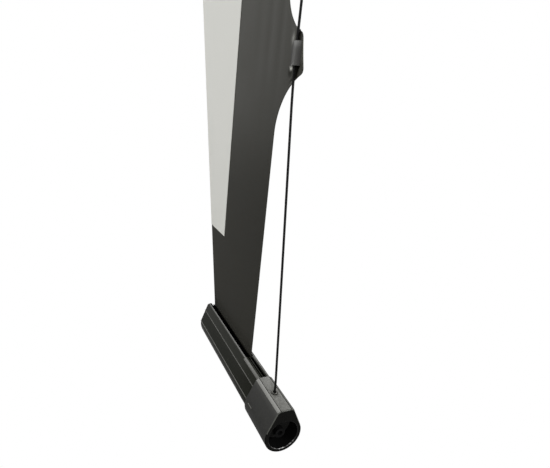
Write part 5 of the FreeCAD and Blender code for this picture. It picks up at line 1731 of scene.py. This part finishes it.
@dataclass(frozen=True)
class Screw:
    """A screw with its drive cut into the head, standing on the origin with its head up.

    The shares are of the head's or the shank's own size.
    """

    name: str
    head_radius: float
    head_height: float
    shank_radius: float
    shank_length: float
    drive: Drive
    finish: Finish = Finish.SCREW_BLACK
    dome: float = 0.35
    dome_steps: int = 6
    sides: int = 40
    tip_share: float = 0.7
    tip_length_share: float = 0.3
    hex_top_share: float = 0.92
    hex_flat_share: float = 0.93
    hex_drive_share: float = 0.52
    cross_long_share: float = 0.62
    cross_slim_share: float = 0.14
    cross_taper: float = 0.55
    drive_depth_share: float = 0.6
    drive_over: float = 0.0005
    crease: float = 35.0

    def _profile(self) -> list[tuple[float, float]]:
        """The screw's outline from the tip up to the crown.

        Returns:
            The outline's radii and heights.
        """
        if self.drive is Drive.HEX:
            flat = self.head_height * self.hex_flat_share
            crown = [(self.head_radius * self.hex_top_share, self.head_height)]
        else:
            flat = self.head_height * (1.0 - self.dome)
            angles = [step / self.dome_steps * math.pi / 2 for step in range(1, self.dome_steps)]
            rise = self.head_height * self.dome
            crown = [(self.head_radius * math.cos(angle), flat + rise * math.sin(angle)) for angle in angles]
        return [
            (self.shank_radius * self.tip_share, -self.shank_length),
            (self.shank_radius, -self.shank_length + self.shank_radius * self.tip_length_share),
            (self.shank_radius, 0.0),
            (self.head_radius, 0.0),
            (self.head_radius, flat),
            *crown,
        ]

    @staticmethod
    def _lofted(name: str, rings: Sequence[Sequence[Point]], finish: Finish) -> bpy.types.Object:
        """A closed form through rings of equally many points.

        Args:
            name: The form's name.
            rings: The rings from the lowest up, each anticlockwise.
            finish: What it is made of.

        Returns:
            The form as a piece.
        """
        count = len(rings[0])
        faces: list[list[int]] = []
        for start in range(0, (len(rings) - 1) * count, count):
            for step in range(count):
                here, there = start + step, start + (step + 1) % count
                faces.append([here, there, there + count, here + count])
        last = (len(rings) - 1) * count
        faces += [list(range(count - 1, -1, -1)), list(range(last, last + count))]
        return mesh_piece(name, np.array(rings).reshape(-1, 3), faces, finish)

    def _turned(self) -> bpy.types.Object:
        """The screw without its drive.

        Returns:
            The screw as a closed piece.
        """
        angles = [2 * math.pi * step / self.sides for step in range(self.sides)]
        rings = [[(r * math.cos(a), r * math.sin(a), height) for a in angles] for r, height in self._profile()]
        return self._lofted(self.name, rings, self.finish)

    def _cutter(self) -> bpy.types.Object:
        """What cuts the drive: a tapered cross or a hexagon.

        Returns:
            The cutter, a scratch object.
        """
        if self.drive is Drive.HEX:
            half, taper = self.head_radius * self.hex_drive_share, 1.0
            outline = [(half * math.cos(k * math.pi / 3), half * math.sin(k * math.pi / 3)) for k in range(6)]
        else:
            long, slim = self.head_radius * self.cross_long_share, self.head_radius * self.cross_slim_share
            taper = self.cross_taper
            outline = [
                (long, -slim), (long, slim), (slim, slim), (slim, long), (-slim, long), (-slim, slim),
                (-long, slim), (-long, -slim), (-slim, -slim), (-slim, -long), (slim, -long), (slim, -slim),
            ]
        floor = self.head_height - self.head_height * self.drive_depth_share
        top = self.head_height + self.drive_over
        rings = [[(x * taper, y * taper, floor) for x, y in outline], [(x, y, top) for x, y in outline]]
        return self._lofted(self.name + "_cutter", rings, self.finish)

    def build(self) -> bpy.types.Object:
        """Makes the master screw.

        Returns:
            The screw, still a scratch object.
        """
        screw, cutter = self._turned(), self._cutter()
        modified(screw, "BOOLEAN", operation="DIFFERENCE", solver="EXACT", object=cutter)
        bpy.data.objects.remove(cutter)
        shade_by_angle(screw, self.crease)
        return screw


@dataclass
class ScrewSet:
    """Equal screws of one node, each at its seat."""

    node: str
    name: str
    body: Body
    screw: Screw
    seats: tuple[tuple[Point, Point], ...]

    def build(self) -> None:
        """Puts a copy of the screw on every seat."""
        master = self.screw.build()
        seats = bpy.data.meshes.new(self.name)
        seats.from_pydata([place for place, _ in self.seats], [], [])
        axes = seats.attributes.new("axis", "FLOAT_VECTOR", "POINT")
        axes.data.foreach_set("vector", np.array([axis for _, axis in self.seats], np.float32).ravel())
        piece = link_piece(self.name, seats)
        Repeater.apply(piece, Repeater.at_points(), Material=self.screw.finish.material, Master=master)
        bpy.data.objects.remove(master)
        shade_by_angle(piece, self.screw.crease)
        settle(piece, self.body, "black_screws", self.node)


@dataclass
class Fasteners:
    """The screws and bolts that show on the outside."""

    cover_z: float = -0.127
    cover_y: float = -0.085
    cover_x: float = 1.2245
    cover_count: int = 6
    end_x: float = 1.2977
    ports: tuple[tuple[float, float], ...] = ((-0.0918, -0.0292), (-0.0918, -0.110), (-0.0082, -0.084))
    bolt_y: float = -0.014
    bolt_z: float = -0.020
    bracket_x: float = 0.95
    bolt_half: float = 0.025
    cap_screw_x: float = 1.225
    cap_screw_z: float = -1.7992
    bar_y: float = -0.025
    small: Screw = Screw(
        "cover_screw", head_radius=0.0028, head_height=0.0018, shank_radius=0.0015, shank_length=0.0036,
        drive=Drive.CROSS,
    )
    sunk: Screw = Screw(
        "end_screw", head_radius=0.0028, head_height=0.0018, shank_radius=0.00145, shank_length=0.030,
        drive=Drive.CROSS, dome=0.2,
    )
    bolt: Screw = Screw(
        "bracket_bolt", head_radius=0.005, head_height=0.006, shank_radius=0.003, shank_length=0.0105,
        drive=Drive.HEX,
    )
    tiny: Screw = Screw(
        "cap_screw", head_radius=0.0026, head_height=0.0014, shank_radius=0.0015, shank_length=0.006,
        drive=Drive.CROSS,
    )

    def build(self) -> None:
        """Makes every set."""
        down, up, ends = (0.0, 0.0, -1.0), (0.0, 0.0, 1.0), [float(side.value) for side in Side]
        row = [float(x) for x in np.linspace(-self.cover_x, self.cover_x, self.cover_count)]
        cover = tuple(((x, self.cover_y, self.cover_z), down) for x in row)
        end = tuple(((way * self.end_x, y, z), (way, 0.0, 0.0)) for way in ends for y, z in self.ports)
        bolts = [way * self.bracket_x + step * self.bolt_half for way in ends for step in ends]
        bracket = tuple(((x, self.bolt_y, self.bolt_z), up) for x in bolts)
        cap = tuple(((way * self.cap_screw_x, self.bar_y, self.cap_screw_z), down) for way in ends)
        ScrewSet("cover_screws", "cover_screw_row", Body.HOUSING, self.small, cover).build()
        ScrewSet("end_cap_screws", "end_screw_set", Body.HOUSING, self.sunk, end).build()
        ScrewSet("bracket_bolts", "bracket_bolt_set", Body.HOUSING, self.bolt, bracket).build()
        ScrewSet("bar_cap_screws", "cap_screw_pair", Body.BAR, self.tiny, cap).build()


@dataclass(frozen=True)
class Lamp:
    """One soft lamp that points at a target."""

    name: str
    place: Point
    target: Point
    size: tuple[float, float]
    power: float

    def build(self) -> None:
        """Hangs the lamp, unseen by the camera."""
        data = bpy.data.lights.new(self.name, "AREA")
        data.shape = "RECTANGLE"
        data.size, data.size_y = self.size
        data.energy = self.power
        lamp = bpy.data.objects.new(self.name, data)
        lamp.location = self.place
        lamp.visible_camera = False
        lamp.rotation_euler = (Vector(self.target) - Vector(self.place)).to_track_quat("-Z", "Y").to_euler()
        bpy.context.scene.collection.objects.link(lamp)


@dataclass
class Studio:
    """The pale floor, the soft light and the camera."""

    floor_z: float = -2.25
    floor_half: float = 20.0
    floor_colour: Colour = (0.90, 0.90, 0.89, 1.0)
    floor_squeeze: Point = (0.7, 1.0, 0.0)
    fade_from: float = 0.6
    fade_to: float = 5.5
    mirrored: float = 0.30
    mirror_from: float = 2.5
    mirror_to: float = 9.0
    ambient: float = 0.5
    focal_px: float = 427.56
    sensor: float = 36.0
    camera_place: Point = (1.50910, -0.17110, -1.53898)
    camera_turn: Point = (72.9416, -6.0310, 64.7272)
    near: float = 0.02
    far: float = 0.484
    lamps: tuple[Lamp, ...] = (
        Lamp("ceiling_panel", (0.4, -1.4, 1.6), (0.0, -0.2, -1.0), (3.6, 2.2), 30.0),
        Lamp("front_fill", (1.2, -3.6, -0.4), (0.0, 0.0, -0.9), (2.6, 2.2), 8.0),
        Lamp("rear_fill", (-2.2, 1.9, -0.5), (1.2, 0.0, -1.6), (2.4, 2.0), 30.0),
        Lamp("side_panel", (-2.2, -1.95, 1.3), (1.25, 0.0, -1.76), (2.0, 1.6), 50.0),
        Lamp("rim_light", (3.35, 1.5, 0.1), (1.276, 0.0, -1.79), (0.6, 0.35), 60.0),
        Lamp("rim_fill", (3.8, -0.55, 0.13), (1.276, 0.0, -1.79), (0.6, 0.35), 26.0),
    )

    def _world(self) -> None:
        """Soft light all round, and plain white for what the camera and gloss see."""
        world = bpy.data.worlds.new("soft_room")
        bpy.context.scene.world = world
        world.use_nodes = True
        sketch = NodeSketch(world.node_tree)
        back = world.node_tree.nodes["Background"].inputs
        rays = sketch.add("ShaderNodeLightPath").outputs
        seen = sketch.math("MAXIMUM", rays["Is Camera Ray"], rays["Is Glossy Ray"])
        seen = sketch.math("MAXIMUM", seen, rays["Is Transmission Ray"])
        sketch.feed(back["Color"], WHITE)
        sketch.feed(back["Strength"], sketch.between(seen, self.ambient, 1.0))

    def _floor_material(self) -> bpy.types.Material:
        """A pale matt that fades into the white background away from the screen.

        Returns:
            The material.
        """
        material = bpy.data.materials.new("pale_floor")
        material.use_nodes = True
        sketch = NodeSketch(material.node_tree)
        nodes = material.node_tree.nodes
        nodes.remove(nodes["Principled BSDF"])
        rays = sketch.add("ShaderNodeLightPath").outputs
        place = sketch.add("ShaderNodeTexCoord").outputs["Object"]
        flat = sketch.add("ShaderNodeVectorMath", {0: place, 1: self.floor_squeeze}, operation="MULTIPLY")
        away = sketch.add("ShaderNodeVectorMath", {0: flat.outputs["Vector"]}, operation="LENGTH").outputs["Value"]
        matt = sketch.add("ShaderNodeBsdfDiffuse", {"Color": self.floor_colour})
        white = sketch.add("ShaderNodeEmission")
        grey = sketch.add("ShaderNodeEmission", {"Strength": self.mirrored})
        fade = sketch.spread(away, self.fade_from, self.fade_to, "SMOOTHSTEP")
        mirror_fade = sketch.spread(away, self.mirror_from, self.mirror_to, "SMOOTHSTEP")

        def mixed(share: Socket, first: bpy.types.Node, second: bpy.types.Node) -> bpy.types.Node:
            """Mixes two shaders by a share."""
            return sketch.add("ShaderNodeMixShader", {0: share, 1: first.outputs[0], 2: second.outputs[0]})

        lit = mixed(rays["Is Camera Ray"], matt, mixed(fade, matt, white))
        ground = mixed(rays["Is Glossy Ray"], lit, mixed(mirror_fade, grey, white))
        sketch.feed(nodes["Material Output"].inputs["Surface"], ground.outputs[0])
        return material

    def _floor(self) -> None:
        """Lays the floor under the screen."""
        mesh = bpy.data.meshes.new("studio_floor")
        corners = ((-1, -1), (1, -1), (1, 1), (-1, 1))
        places = [(x * self.floor_half, y * self.floor_half, self.floor_z) for x, y in corners]
        mesh.from_pydata(places, [], [(0, 1, 2, 3)])
        mesh.materials.append(self._floor_material())
        link_piece("studio_floor", mesh)

    def _camera(self) -> None:
        """The photograph's camera, which sees no further than the picture's own edge."""
        data = bpy.data.cameras.new("photo_camera")
        data.sensor_fit = "HORIZONTAL"
        data.sensor_width = self.sensor
        data.lens = self.sensor * self.focal_px / PHOTO_WIDTH
        data.clip_start, data.clip_end = self.near, self.far
        camera = bpy.data.objects.new("photo_camera", data)
        camera.location = self.camera_place
        camera.rotation_euler = [math.radians(angle) for angle in self.camera_turn]
        bpy.context.scene.collection.objects.link(camera)
        bpy.context.scene.camera = camera

    def build(self) -> None:
        """Sets up the light, the floor and the camera."""
        bpy.context.scene.view_settings.view_transform = "Standard"
        self._world()
        self._floor()
        for lamp in self.lamps:
            lamp.build()
        self._camera()


def main() -> None:
    """Builds and dresses the screen, sub-assembly by sub-assembly."""
    logging.basicConfig(level=logging.INFO, format="%(name)s: %(message)s")
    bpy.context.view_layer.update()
    paint_cad_nodes()
    Studio().build()
    rolled = RolledCloth().build()
    ScreenAssembly().build(rolled)
    WeightBar().build()
    Housing().build()
    Fasteners().build()


if __name__ == "__main__":
    main()
